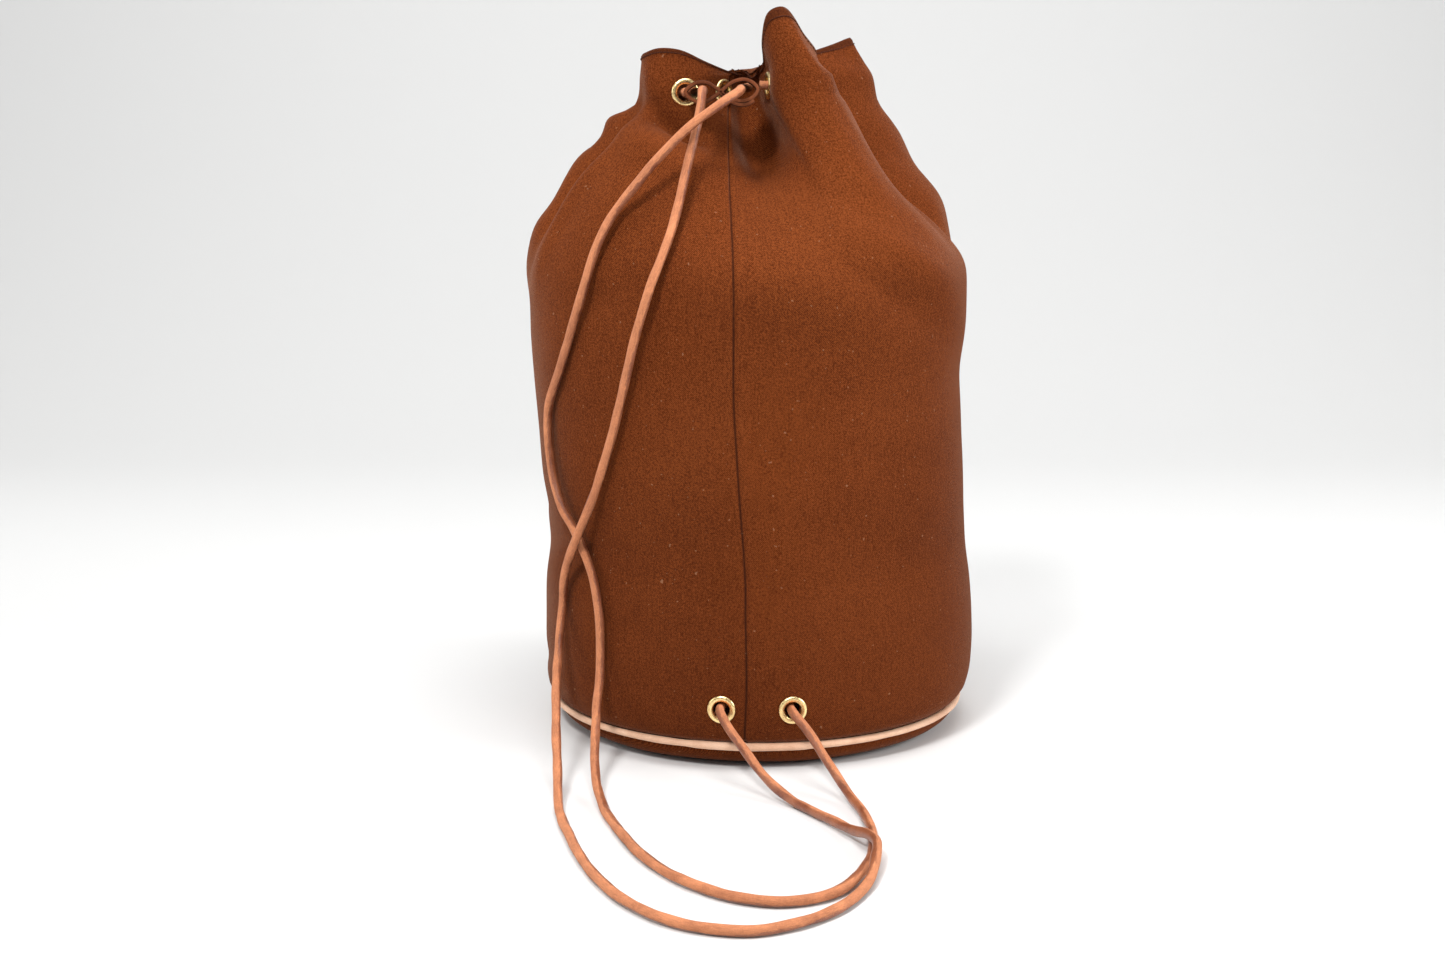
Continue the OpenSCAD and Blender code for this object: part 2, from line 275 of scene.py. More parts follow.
@dataclass(frozen=True)
class CanvasFinish:
    """Tight brown cotton twill. The weave follows the piece's UV map, which is in metres."""

    name: str = "brown_twill"
    dark: tuple = (0.062, 0.0115, 0.0022)
    light: tuple = (0.215, 0.052, 0.012)
    # Painted shade that darkens the cloth towards its base
    base_shade: tuple = (0.040, 0.008, 0.002)
    lint: tuple = (0.42, 0.22, 0.12)
    seam_line: tuple = (0.022, 0.007, 0.004)
    # Painted shade on the hem's folded edge and in its stitch groove
    hem_shade: tuple = (0.030, 0.009, 0.005)
    pitch: float = 0.00115
    edges: bool = False

    def make(self) -> bpy.types.Material:
        """Returns the material."""
        material, graph, shader = shell(
            self.name, 0.95, Sheen_Weight=0.2, Sheen_Roughness=0.24, Sheen_Tint=(1.0, 0.62, 0.45),
            Specular_IOR_Level=0.06,
        )
        flat, solid = graph.flat(), graph.solid()
        weave = graph.add("ShaderNodeGroup", node_tree=Shared.twill, in_Pitch=self.pitch, in_Irregular=0.35)
        graph.join(flat, weave.inputs["Vector"])
        speck = graph.noise(solid, 1150.0, 3.0, 0.75)
        tone = graph.total(
            (weave.outputs["Height"], 0.42), (graph.noise(solid, 11.0, 4.0), 0.34),
            (weave.outputs["Slub"], 0.24), (graph.math("SUBTRACT", speck, 0.5), 1.6),
        )
        colour = graph.blend(graph.span(tone, 0.18, 0.82, 0.0, 1.0), self.dark, self.light)
        # Painted shade: the cloth's colour is darkened a little towards the base, where less of the light from
        # above reaches
        colour = graph.blend(graph.span(graph.split(solid)[2], 0.0, 0.3, 0.3, 0.0), colour, self.base_shade)
        # A few pale lint fibres caught on the cloth
        lint = graph.span(graph.noise(solid, 420.0, 1.0), 0.74, 0.79, 0.0, 0.35)
        colour = graph.blend(lint, colour, self.lint)
        if self.edges:
            colour = self.mark_edges(graph, flat, colour)
        graph.join(colour, shader.inputs["Base Color"])
        height = graph.math("ADD", weave.outputs["Height"], graph.times(speck, 0.6))
        relief(graph, shader, height, 0.00022, 0.55)
        return material

    def mark_edges(self, graph: Graph, flat: Socket, colour: Socket) -> Socket:
        """Darkens the seam's line, and paints shade on the turned hem's edge band and in the groove where it is
        sewn down.

        Args:
            graph: The material's Graph.
            flat: The place on the cloth; the seam is at u = 0 and v runs up from the base seam.
            colour: The cloth's colour.

        Returns:
            The darkened colour.
        """
        across, up, _ = graph.split(flat)
        line = graph.span(graph.math("ABSOLUTE", across), 0.0002, 0.0009, 0.7, 0.0)
        colour = graph.blend(line, colour, self.seam_line)
        # Painted shade: a dark band along the turned hem's folded edge, and more in the groove of its stitch line
        hem = graph.span(up, 0.3960, 0.3975, 0.0, 0.55)
        off = graph.math("ABSOLUTE", graph.math("SUBTRACT", up, 0.3962))
        groove = graph.span(off, 0.0002, 0.0011, 0.25, 0.0)
        return graph.blend(graph.math("MAXIMUM", hem, groove), colour, self.hem_shade)


@dataclass(frozen=True)
class LeatherFinish:
    """Vegetable-tanned leather. With cord set, u runs round the cord and one side is the rough flesh side."""

    name: str
    dark: tuple
    light: tuple
    roughness: float = 0.5
    cord: bool = False

    def make(self) -> bpy.types.Material:
        """Returns the material."""
        shine = 0.45 if self.roughness < 0.7 else 0.15
        material, graph, shader = shell(
            self.name, self.roughness, Specular_IOR_Level=shine, Sheen_Weight=0.06, Sheen_Tint=(1.0, 0.6, 0.4)
        )
        solid = graph.solid()
        grain = graph.add("ShaderNodeGroup", node_tree=Shared.grain, in_Size=0.00045)
        graph.join(solid, grain.inputs["Vector"])
        tone = graph.total((grain.outputs["Tone"], 0.75), (graph.noise(solid, 1400.0, 3.0, 0.7), 0.35))
        tone = graph.span(tone, 0.3, 0.8, 0.0, 1.0)
        height = graph.times(grain.outputs["Height"], 0.5)
        if self.cord:
            flesh, fuzz = self.flesh_side(graph)
            tone = graph.total((tone, 0.5), (fuzz, 0.95))
            height = graph.math("ADD", height, graph.times(fuzz, 2.4))
            graph.join(graph.span(flesh, 0.0, 1.0, 0.3, 0.85), shader.inputs["Roughness"])
        graph.join(graph.blend(tone, self.dark, self.light), shader.inputs["Base Color"])
        relief(graph, shader, height, 0.00025, 0.5)
        return material

    @staticmethod
    def flesh_side(graph: Graph) -> tuple:
        """Finds a cord's rough flesh side, which drifts round the cord along its length.

        Args:
            graph: The material's Graph.

        Returns:
            A mask of the side, and the fibres that stand up from it.
        """
        around, along, _ = graph.split(graph.flat())
        drift = graph.times(graph.noise(graph.merge(along, 0.0, 0.0), 9.0, 2.0), 5.0)
        turn = graph.math("ADD", graph.times(around, 2 * math.pi), drift)
        cosine, sine = graph.math("COSINE", turn), graph.math("SINE", turn)
        place = graph.merge(graph.times(cosine, 0.0025), graph.times(sine, 0.0025), graph.times(along, 0.2))
        fibre = graph.noise(place, 1500.0, 4.0, 0.75)
        side = graph.math("ADD", cosine, graph.times(graph.math("SUBTRACT", fibre, 0.5), 1.4))
        flesh = graph.span(side, 0.05, 0.5, 0.0, 1.0)
        return flesh, graph.times(flesh, fibre)


@dataclass(frozen=True)
class BrassFinish:
    """Pale gold brass, polished, with faint rubbing marks."""

    name: str = "pale_brass"
    dark: tuple = (0.92, 0.64, 0.26)
    light: tuple = (1.0, 0.80, 0.42)

    def make(self) -> bpy.types.Material:
        """Returns the material."""
        material, graph, shader = shell(self.name, 0.2, Metallic=1.0)
        rub = graph.noise(graph.solid(), 900.0, 4.0, 0.65)
        graph.join(graph.blend(rub, self.dark, self.light), shader.inputs["Base Color"])
        graph.join(graph.span(rub, 0.3, 0.7, 0.22, 0.38), shader.inputs["Roughness"])
        relief(graph, shader, rub, 0.00004, 0.3)
        return material


@dataclass(frozen=True)
class ThreadFinish:
    """Twisted sewing thread or string."""

    name: str
    dark: tuple
    light: tuple

    def make(self) -> bpy.types.Material:
        """Returns the material."""
        material, graph, shader = shell(self.name, 0.8, Specular_IOR_Level=0.15)
        twist = graph.noise(graph.solid(), 2600.0, 2.0)
        graph.join(graph.blend(twist, self.dark, self.light), shader.inputs["Base Color"])
        relief(graph, shader, twist, 0.0001, 0.5)
        return material


class Finishes:
    """Every finish of the bag, as a material."""

    def __init__(self) -> None:
        """Makes the materials."""
        Shared.build()
        self.wall = CanvasFinish("wall_twill", edges=True).make()
        self.canvas = CanvasFinish().make()
        self.tape = CanvasFinish("brown_tape", (0.08, 0.022, 0.009), (0.17, 0.055, 0.022)).make()
        self.cord = LeatherFinish("cord_tan", (0.13, 0.026, 0.010), (0.66, 0.25, 0.11), 0.36, True).make()
        self.piping = LeatherFinish("piping_natural", (0.66, 0.36, 0.22), (0.88, 0.58, 0.40), 0.5).make()
        # Painted shade: the slider strip's broad faces get a near-black brown that stands for the shade inside
        # its loops
        self.slider = LeatherFinish("slider_faces_painted_shade", (0.020, 0.005, 0.002), (0.055, 0.014, 0.005), 0.9).make()
        self.slider_edge = LeatherFinish("slider_raw_edge", (0.08, 0.02, 0.007), (0.22, 0.065, 0.025), 0.9).make()
        self.thread = ThreadFinish("brown_thread", (0.030, 0.008, 0.004), (0.09, 0.024, 0.010)).make()
        self.string = ThreadFinish("cotton_string", (0.55, 0.48, 0.38), (0.8, 0.74, 0.62)).make()
        self.brass = BrassFinish().make()


# ---- The cloth's own surface ----

# Stations run round the cloth, from 0 at the first azimuth, and the seam lies between two of them
STATIONS = 36
FIRST_AZIMUTH = -98.0
SEAM = 0.4
STATION_LENGTH = 0.785 / STATIONS
GIRTH = STATIONS * STATION_LENGTH
CANVAS_T = 1.5 * MM
NECK_BAND, FOOT_Z, SHOULDER_Z = 9 * MM, 16 * MM, 268 * MM
# How far up the flat cloth the levels 0 to 4 lie, and the level of the neck's eyelets
LEVEL_RISES = (0, 0.252, 0.360, 0.378, 0.400)
EYELET_ROW = 2.5
# How far the hem is turned down, and how far its stitches lie above the turned edge
HEM_FOLD, STITCH_INSET = 4.6 * MM, 1.1 * MM

# Radius and sideways lean of the stuffed body at each height, in millimetres
BODY = np.array([
    (16, 119.8, 0), (20, 123.4, 0), (27, 125.6, 0.3), (42, 126.6, 1), (62, 126.4, 1), (85, 125.2, 0.4),
    (104, 122.8, 0.2), (124, 122.6, -1), (150, 123.5, -3), (175, 123.6, -4.6), (200, 124.2, -6),
    (240, 126.6, -6), (268, 127.3, -6),
])
# The neck's eyelets, by station, and the closed lines that the cloth follows through them and along the
# hem. Each row is a station and a place in millimetres; the eyelets' own rows are among the neck's.
FOLD_STATION = (0, 3, 8, 12, 17, 20, 25, 29, 34)
NECK_LINE = (
    (0, -20, -32, 364), (0.8, -13, -22, 365), (1.6, -6, -18, 366), (2.3, 0, -24, 367), (3, 5, -36, 368),
    (3.7, 6, -51, 368), (4.5, 13, -61, 368), (5.3, 26, -66, 368), (6.1, 36, -64, 368), (6.8, 44, -54, 368),
    (7.4, 45, -36, 368), (8, 35, -17, 368), (9, 22, -8, 368), (10, 15, -2, 368), (11, 20, 5, 368),
    (12, 36, 9, 368), (13, 56, 23, 367), (14, 68, 40, 366), (15, 60, 50, 365), (16, 42, 44, 363),
    (17, 26, 34, 362), (18.5, 5, 20, 358), (20, -12, 38, 354), (21.2, -24, 60, 354), (22.5, -42, 69, 354),
    (23.8, -52, 50, 354), (25, -44, 26, 354), (26, -27, 16, 355), (27, -19, 10, 356), (28, -28, 0, 357),
    (29, -46, -6, 358), (30, -60, -10, 360), (31, -67, -20, 362), (32, -66, -36, 363), (33, -57, -46, 364),
    (34, -41, -47, 364), (35, -29, -42, 364),
)
HEM_LINE = (
    (0, -17, -27, 376), (1, -8, -20, 374), (2, -2, -22, 374), (3, 2, -33, 381), (3.7, 1, -44, 394),
    (4.3, 3, -52, 405), (5.0, 9.5, -55, 409.5), (5.7, 16, -52, 408), (6.5, 24.5, -42, 398),
    (7.2, 33, -27, 390), (8, 28, -10, 386), (10, 12, 3, 381), (12, 30, 14, 388), (13.4, 44, 25, 393),
    (14.2, 54, 34, 397), (15.0, 50, 43, 394), (17, 18, 32, 380), (18.5, 3, 21, 374), (20, -8, 36, 371),
    (21.2, -19, 57, 372), (22.5, -34, 61, 372), (23.8, -41, 46, 371), (25, -34, 26, 370), (27, -20, 9, 369),
    (29, -38, -8, 374), (30.3, -56, -14, 382), (31.4, -65, -26, 384), (32.4, -63, -38, 386),
    (33.2, -55, -45, 388), (34, -44, -46, 387), (35, -30, -38, 381),
)


def hermite(knots: np.ndarray, values: np.ndarray, at: np.ndarray) -> np.ndarray:
    """Follows a smooth curve through points.

    Args:
        knots: Where the points lie, in rising order.
        values: One row for each knot.
        at: Where to read the curve.

    Returns:
        One row for each place in at.
    """
    gaps = np.diff(knots)[:, None]
    slopes = np.diff(values, axis=0) / gaps
    inner = (slopes[:-1] * gaps[1:] + slopes[1:] * gaps[:-1]) / (gaps[1:] + gaps[:-1])
    tangents = np.vstack([slopes[:1], inner, slopes[-1:]])
    i = np.clip(np.searchsorted(knots, at, side="right") - 1, 0, len(knots) - 2)
    h = gaps[i]
    x = ((at - knots[i]) / h[:, 0])[:, None]
    return (
        values[i] * (1 + 2 * x) * (1 - x) ** 2 + values[i + 1] * x * x * (3 - 2 * x)
        + h * tangents[i] * x * (1 - x) ** 2 - h * tangents[i + 1] * x * x * (1 - x)
    )


def closed_line(rows: tuple, stations: np.ndarray) -> np.ndarray:
    """Follows a closed line round the bag.

    Args:
        rows: A station and a place in millimetres for each point that it runs through.
        stations: Where to read it.

    Returns:
        A place in metres for each station.
    """
    table = np.array(rows, float)
    turn = np.array((STATIONS, 0, 0, 0))
    table = np.vstack([table - turn, table, table + turn])
    return hermite(table[:, 0], table[:, 1:] * MM, np.mod(stations, STATIONS))


def swell(x: np.ndarray, centre: float, width: float) -> np.ndarray:
    """Returns a smooth swell, which is 1 at its centre and next to nothing two widths away."""
    return np.exp(-(((x - centre) / width) ** 2))


@dataclass(frozen=True)
class Dent:
    """A soft dent or ridge: its station and rise, its two half-widths and turn, and how far it pushes out."""

    station: float
    rise: float
    along: float
    across: float
    turn: float
    push: float

    def field(self, u: np.ndarray, v: np.ndarray) -> np.ndarray:
        """Returns the push at each place of the cloth, in metres along it."""
        du = np.mod(u - self.station * STATION_LENGTH + GIRTH / 2, GIRTH) - GIRTH / 2
        dv = v - self.rise * MM
        c, s = math.cos(math.radians(self.turn)), math.sin(math.radians(self.turn))
        a, b = (du * c + dv * s) / (self.along * MM), (dv * c - du * s) / (self.across * MM)
        return self.push * MM * np.exp(-a * a - b * b)


DENTS = tuple(Dent(*row) for row in (
    # The shoulders, which the load holds out
    (13.2, 278, 46, 42, 0, 21), (13.8, 338, 40, 26, 0, 8), (28.2, 302, 60, 40, 0, 16),
    (29.8, 353, 24, 13, 0, 19), (29, 330, 40, 24, 0, 13), (28.2, 270, 44, 13, 0, 4),
    (22, 300, 40, 40, 0, 10), (32.6, 306, 34, 40, 0, 3), (9.8, 318, 58, 12, 116, -13),
    (8.2, 318, 60, 8, 113, 3), (7.9, 316, 40, 32, 0, -9), (7.2, 386, 26, 14, 0, -8),
    (7.3, 371, 15, 8, 0, -3),
    # The valley beside the front-left fold, the crease under the left flap and the pit under the slider
    (30.3, 310, 50, 12, 62, -16), (31.3, 300, 48, 7, 62, 3), (34, 350, 30, 6, -20, -13),
    (33.6, 331, 34, 10, -24, 7), (1.7, 337, 17, 24, 14, -16), (1, 306, 16, 20, 8, -3),
    (35.2, 318, 10, 18, 0, 2),
    # Soft dents of the stuffed body
    (-5.5, 95, 46, 9, 4, -1.1), (3.5, 150, 60, 11, -8, -0.9), (-2.5, 60, 50, 9, 6, -0.8),
    (6, 96, 40, 10, 12, -1), (2.5, 215, 42, 13, -22, -1.4), (-3.6, 236, 48, 12, 14, -1.6),
    (5.2, 262, 50, 14, -30, 4), (4.4, 243, 44, 9, -28, -3), (-8.4, 120, 30, 8, -18, -1.3),
    (-8, 20, 30, 7, 6, -1.4), (0.8, 268, 26, 9, 20, 1.2), (8.5, 190, 46, 14, 10, -1.1),
    (13, 100, 50, 12, 8, -1.2), (16.5, 205, 44, 12, -14, -1.5), (20.5, 70, 48, 12, -6, -1.1),
    (23.5, 160, 52, 13, 12, -1.3), (26.5, 240, 44, 12, -16, -1.4), (11, 250, 40, 12, 18, -1.6),
))


@dataclass
class Cloth:
    """The outer face of the wall's canvas, as a grid of points over stations round it and levels up it.

    A level runs from 0 to 1 up the body, to 2 where the neck begins, to 3 over the eyelets' band and to 4
    at the hem.
    """

    stations: np.ndarray
    levels: np.ndarray
    points: np.ndarray = None

    def rise(self) -> np.ndarray:
        """Returns each level's distance up the flat cloth, in metres."""
        return np.interp(self.levels, range(5), LEVEL_RISES)

    def shape(self) -> None:
        """Sets the points to the drawn-in bag's designed shape."""
        s, rows = self.stations, []
        azimuth = np.radians(FIRST_AZIMUTH + 360 * s / STATIONS)
        ring = np.stack([np.cos(azimuth), np.sin(azimuth), np.zeros_like(s)], axis=1)
        neck, hem = closed_line(NECK_LINE, s), closed_line(HEM_LINE, s)
        for t in self.levels:
            z = FOOT_Z + (SHOULDER_Z - FOOT_Z) * min(t, 1.0)
            radius, lean = hermite(BODY[:, 0] * MM, BODY[:, 1:] * MM, np.array([z]))[0]
            body = ring * radius + (lean, 0, z)
            if t <= 1:
                row = body
            elif t <= 2:
                low = neck - (0, 0, NECK_BAND)
                row = body * (2 - t) + low * (t - 1)
                row = row + ring * math.sin(math.pi * (t - 1)) * 7 * MM
            elif t <= 3:
                row = neck + np.array((0, 0, NECK_BAND * (2 * t - 5)))
            else:
                row = (neck + (0, 0, NECK_BAND)) * (4 - t) + hem * (t - 3)
            rows.append(row)
        self.points = np.array(rows)

    def smooth(self, passes: int, first: float, last: float) -> None:
        """Rounds the corners between two levels.

        Args:
            passes: How many times each point moves towards its neighbours above and below.
            first: The lower level.
            last: The upper level.
        """
        inside = np.clip(np.minimum(self.levels - first, last - self.levels) / 0.12, 0, 1)[:, None, None]
        for _ in range(passes):
            middle = self.points.copy()
            middle[1:-1] = (self.points[:-2] + self.points[2:]) / 2
            self.points += (middle - self.points) * inside * 0.5

    def normals(self) -> np.ndarray:
        """Returns the direction out of the bag at each point."""
        across = np.roll(self.points, -1, axis=1) - np.roll(self.points, 1, axis=1)
        up = np.gradient(self.points, axis=0)
        n = np.cross(across, up)
        return n / np.maximum(np.linalg.norm(n, axis=2, keepdims=True), 1e-12)

    def push(self, amount: np.ndarray) -> None:
        """Moves each point out along its normal."""
        self.points = self.points + self.normals() * amount[:, :, None]

    def at(self, station: float, level: float) -> tuple:
        """Reads the cloth at one place.

        Args:
            station: The place's station.
            level: The place's level.

        Returns:
            The point there and the direction out of the bag, as vectors.
        """
        s = (station - self.stations[0]) % STATIONS + self.stations[0]
        wrapped = np.append(self.stations, self.stations[0] + STATIONS)
        k = int(np.clip(np.searchsorted(wrapped, s) - 1, 0, len(self.stations) - 1))
        j = int(np.clip(np.searchsorted(self.levels, level) - 1, 0, len(self.levels) - 2))
        a = (s - wrapped[k]) / (wrapped[k + 1] - wrapped[k])
        b = (level - self.levels[j]) / (self.levels[j + 1] - self.levels[j])
        right = (k + 1) % len(self.stations)

        def read(grid: np.ndarray) -> np.ndarray:
            """Reads a grid between its four nearest points."""
            low, high = (grid[row, k] * (1 - a) + grid[row, right] * a for row in (j, j + 1))
            return low * (1 - b) + high * b

        n = read(self.normals())
        return Vector(read(self.points)), Vector(n / np.linalg.norm(n))


def hem_share(rise: np.ndarray) -> np.ndarray:
    """Returns how far each level is within the turned hem: 0 below it and 1 in it."""
    x = np.clip((rise - rise[-1] + HEM_FOLD) / (1.2 * MM) + 0.5, 0, 1)
    return x * x * (3 - 2 * x)


def fine_cloth() -> Cloth:
    """Makes the drawn-in bag's cloth, with its seam, hem and dents.

    Returns:
        The cloth, with its first column at the seam.
    """
    # The columns stand close together beside the seam, at these distances in millimetres
    near = np.array([0, 0.5, 1.0, 1.6, 2.4, 3.4, 4.6, 6.2]) * MM / STATION_LENGTH
    middle = np.linspace(near[-1], STATIONS - near[-1], 300)[1:-1]
    stations = SEAM + np.concatenate([near, middle, STATIONS - near[:0:-1]])
    levels = np.concatenate([
        np.linspace(0, 1, 84)[:-1], np.linspace(1, 2, 38)[:-1], np.linspace(2, 3, 9)[:-1],
        np.linspace(3, 4, 15),
    ])
    cloth = Cloth(stations, levels)
    cloth.shape()
    cloth.smooth(18, 0.85, 2.2)
    cloth.smooth(4, 2.6, 3.6)
    u = (stations - SEAM) * STATION_LENGTH
    v = cloth.rise()
    u_grid, v_grid = np.meshgrid(stations * STATION_LENGTH, v)
    cloth.push(sum(dent.field(u_grid, v_grid) for dent in DENTS))
    off = np.minimum(u, GIRTH - u)
    seam = -0.7 * MM * swell(off, 0, 0.9 * MM) + 0.3 * MM * swell(off, 3.4 * MM, 2.0 * MM)
    stitches = -0.45 * MM * swell(v[-1] - v, HEM_FOLD - STITCH_INSET, 0.8 * MM)
    cloth.push(seam[None, :] + (0.55 * MM * hem_share(v) + stitches)[:, None])
    return cloth


# ---- Meshes ----


@dataclass(frozen=True)
class Finish:
    """What a finished piece is declared as."""

    slot: Slot
    replaces: tuple = ()
    body: Body = Body.BAG


def new_piece(name: str, points: Iterable, faces: Iterable, uv: Sequence = None, smooth: bool = True) -> Obj:
    """Makes a mesh object.

    Args:
        name: Its name.
        points: Its vertices.
        faces: Its faces, as rows of vertex numbers.
        uv: One pair for each face corner, in the faces' order, in metres.
        smooth: Whether its faces are shaded smooth.

    Returns:
        The object, linked to the scene.
    """
    mesh = bpy.data.meshes.new(name)
    mesh.from_pydata([tuple(p) for p in points], [], [tuple(int(i) for i in f) for f in faces])
    if uv is not None:
        layer = mesh.uv_layers.new(name="UVMap")
        layer.data.foreach_set("uv", np.asarray(uv, np.float32).ravel())
    mesh.validate()
    mesh.update()
    if smooth:
        mesh.polygons.foreach_set("use_smooth", [True] * len(mesh.polygons))
    obj = bpy.data.objects.new(name, mesh)
    bpy.context.scene.collection.objects.link(obj)
    return obj


def declare(obj: Obj, finish: Finish, material: bpy.types.Material) -> None:
    """Gives a finished piece its material and body, and hides the frame's nodes that it stands for.

    Args:
        obj: The piece.
        finish: What it is declared as.
        material: Its material.
    """
    obj.data.materials.clear()
    obj.data.materials.append(material)
    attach(obj, finish.body.value)
    if finish.replaces:
        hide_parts(*finish.replaces)


def dress_node(name: str, material: bpy.types.Material) -> None:
    """Gives a node of the frame a material."""
    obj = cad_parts[name]
    obj.data.materials.clear()
    obj.data.materials.append(material)


def ring_faces(rings: int, sides: int, closed: bool = False) -> np.ndarray:
    """Joins each ring of points to the next one with faces.

    Args:
        rings: How many rings there are, with their points one ring after another.
        sides: How many points each ring has.
        closed: Whether the last ring joins the first.

    Returns:
        One row of four vertex numbers for each face, ring by ring.
    """
    starts = np.arange(rings if closed else rings - 1)
    ring, k = (g.ravel() for g in np.meshgrid(starts, np.arange(sides), indexing="ij"))
    here, after, right = ring * sides, (ring + 1) % rings * sides, (k + 1) % sides
    return np.stack([here + k, here + right, after + right, after + k], axis=1)


def flipped(faces: np.ndarray) -> np.ndarray:
    """Turns four-sided faces round, so that they face the other way."""
    return faces[:, [0, 3, 2, 1]]


def sweep(points: np.ndarray, radii: np.ndarray, sides: int, name: str) -> Obj:
    """Makes a closed tube along a line, with a UV map that runs round it (0 to 1) and along it (metres).

    Args:
        points: The line's points.
        radii: The tube's radius at each point, or at each point and side.
        sides: How many sides the tube has.
        name: The object's name.

    Returns:
        The object.
    """
    p = np.asarray(points, float)
    n = len(p)
    tangent = np.gradient(p, axis=0)
    tangent /= np.linalg.norm(tangent, axis=1, keepdims=True)
    side = np.cross(tangent[0], (0.2, 0.3, 1.0))
    rings = []
    angle = np.linspace(0, 2 * np.pi, sides, endpoint=False)
    radii = np.broadcast_to(np.asarray(radii, float).reshape(n, -1), (n, sides))
    for i in range(n):
        side = side - tangent[i] * side.dot(tangent[i])
        side /= np.linalg.norm(side)
        other = np.cross(tangent[i], side)
        spoke = np.cos(angle)[:, None] * side + np.sin(angle)[:, None] * other
        rings.append(p[i] + spoke * radii[i][:, None])
    length = np.concatenate([[0], np.cumsum(np.linalg.norm(np.diff(p, axis=0), axis=1))])
    faces = ring_faces(n, sides)
    start, k = faces[:, 0] // sides, faces[:, 0] % sides
    low, high = length[start], length[start + 1]
    uv = np.stack([k, low, k + 1, low, k + 1, high, k, high], axis=1).reshape(-1, 2)
    uv[:, 0] /= sides
    points = np.vstack([np.concatenate(rings), p[:1], p[-1:]])
    first, last = n * sides, n * sides + 1
    caps = [(first, (a + 1) % sides, a) for a in range(sides)]
    caps += [(last, (n - 1) * sides + a, (n - 1) * sides + (a + 1) % sides) for a in range(sides)]
    cap_uv = [(a / sides, length[end]) for end in (0, -1) for a in range(sides) for _ in range(3)]
    return new_piece(name, points, [*faces.tolist(), *caps], np.vstack([uv, cap_uv]))


def lathe(profile: list, steps: int, name: str) -> Obj:
    """Turns a closed profile round Z.

    Args:
        profile: Its (radius, height) points, in millimetres.
        steps: How many copies of it go round.
        name: The object's name.

    Returns:
        The object.
    """
    ring = np.array(profile, float) * MM
    a = np.linspace(0, 2 * np.pi, steps, endpoint=False)
    across, height = ring[:, 0], np.tile(ring[:, 1], (steps, 1))
    points = np.stack([np.outer(np.cos(a), across), np.outer(np.sin(a), across), height], axis=2)
    return new_piece(name, points.reshape(-1, 3), flipped(ring_faces(steps, len(ring), closed=True)))


def drop_loose(obj: Obj) -> Obj:
    """Removes the vertices that no face uses."""
    work = bmesh.new()
    work.from_mesh(obj.data)
    bmesh.ops.delete(work, geom=[v for v in work.verts if not v.link_faces], context="VERTS")
    work.to_mesh(obj.data)
    work.free()
    return obj


def keep_modifiers(obj: Obj) -> None:
    """Turns an object's modifiers into its own mesh."""
    evaluated = obj.evaluated_get(bpy.context.evaluated_depsgraph_get())
    mesh = bpy.data.meshes.new_from_object(evaluated)
    obj.modifiers.clear()
    obj.data = mesh


def scatter_group(name: str, material: bpy.types.Material) -> bpy.types.NodeTree:
    """Makes a Geometry Nodes tree that puts one piece at each point, turned along two directions.

    Args:
        name: The tree's name.
        material: The material of the result.

    Returns:
        The tree, whose inputs are Piece and Scale.
    """
    tree = bpy.data.node_groups.new(name, "GeometryNodeTree")
    for label, way, kind in (
        ("Geometry", "INPUT", "Geometry"), ("Piece", "INPUT", "Object"), ("Scale", "INPUT", "Float"),
        ("Geometry", "OUTPUT", "Geometry"),
    ):
        tree.interface.new_socket(label, in_out=way, socket_type="NodeSocket" + kind)
    graph = Graph(tree)
    given, out = graph.add("NodeGroupInput"), graph.add("NodeGroupOutput")
    piece = graph.add("GeometryNodeObjectInfo", transform_space="RELATIVE")
    graph.join(given.outputs["Piece"], piece.inputs["Object"])
    turned = None
    for label, axis in (("out", "Z"), ("along", "X")):
        attribute = graph.add("GeometryNodeInputNamedAttribute", data_type="FLOAT_VECTOR", in_Name=label)
        pivot = "AUTO" if turned is None else "Z"
        turn = graph.add("FunctionNodeAlignRotationToVector", axis=axis, pivot_axis=pivot)
        graph.join(attribute.outputs["Attribute"], turn.inputs["Vector"])
        if turned is not None:
            graph.join(turned, turn.inputs["Rotation"])
        turned = turn.outputs[0]
    copies = graph.add("GeometryNodeInstanceOnPoints")
    graph.join(given.outputs["Geometry"], copies.inputs["Points"])
    graph.join(piece.outputs["Geometry"], copies.inputs["Instance"])
    graph.join(turned, copies.inputs["Rotation"])
    graph.join(given.outputs["Scale"], copies.inputs["Scale"])
    real = graph.add("GeometryNodeRealizeInstances")
    graph.join(copies.outputs[0], real.inputs[0])
    dress = graph.add("GeometryNodeSetMaterial")
    dress.inputs["Material"].default_value = material
    graph.join(real.outputs[0], dress.inputs["Geometry"])
    graph.join(dress.outputs[0], out.inputs[0])
    return tree


def scatter(name: str, piece: Obj, places: list, material: bpy.types.Material) -> Obj:
    """Puts copies of a piece at places, as one mesh.

    Args:
        name: The new object's name.
        piece: The piece to copy, which is removed afterwards.
        places: For each copy its point, the direction its Z faces and the direction its X runs.
        material: The copies' material.

    Returns:
        The object.
    """
    obj = new_piece(name, [p for p, _, _ in places], [], smooth=False)
    for label, k in (("out", 1), ("along", 2)):
        attribute = obj.data.attributes.new(label, "FLOAT_VECTOR", "POINT")
        attribute.data.foreach_set("vector", np.array([tuple(row[k]) for row in places], np.float32).ravel())
    tree = scatter_group(name + "_nodes", material)
    modifier = obj.modifiers.new("Copies", "NODES")
    modifier.node_group = tree
    sockets = {item.name: item.identifier for item in tree.interface.items_tree if item.in_out == "INPUT"}
    modifier[sockets["Piece"]] = piece
    modifier[sockets["Scale"]] = 1.0
    keep_modifiers(obj)
    for label in ("out", "along"):
        if label in obj.data.attributes:
            obj.data.attributes.remove(obj.data.attributes[label])
    obj.data.polygons.foreach_set("use_smooth", [True] * len(obj.data.polygons))
    bpy.data.objects.remove(piece)
    return obj


# ---- Sub-assemblies ----

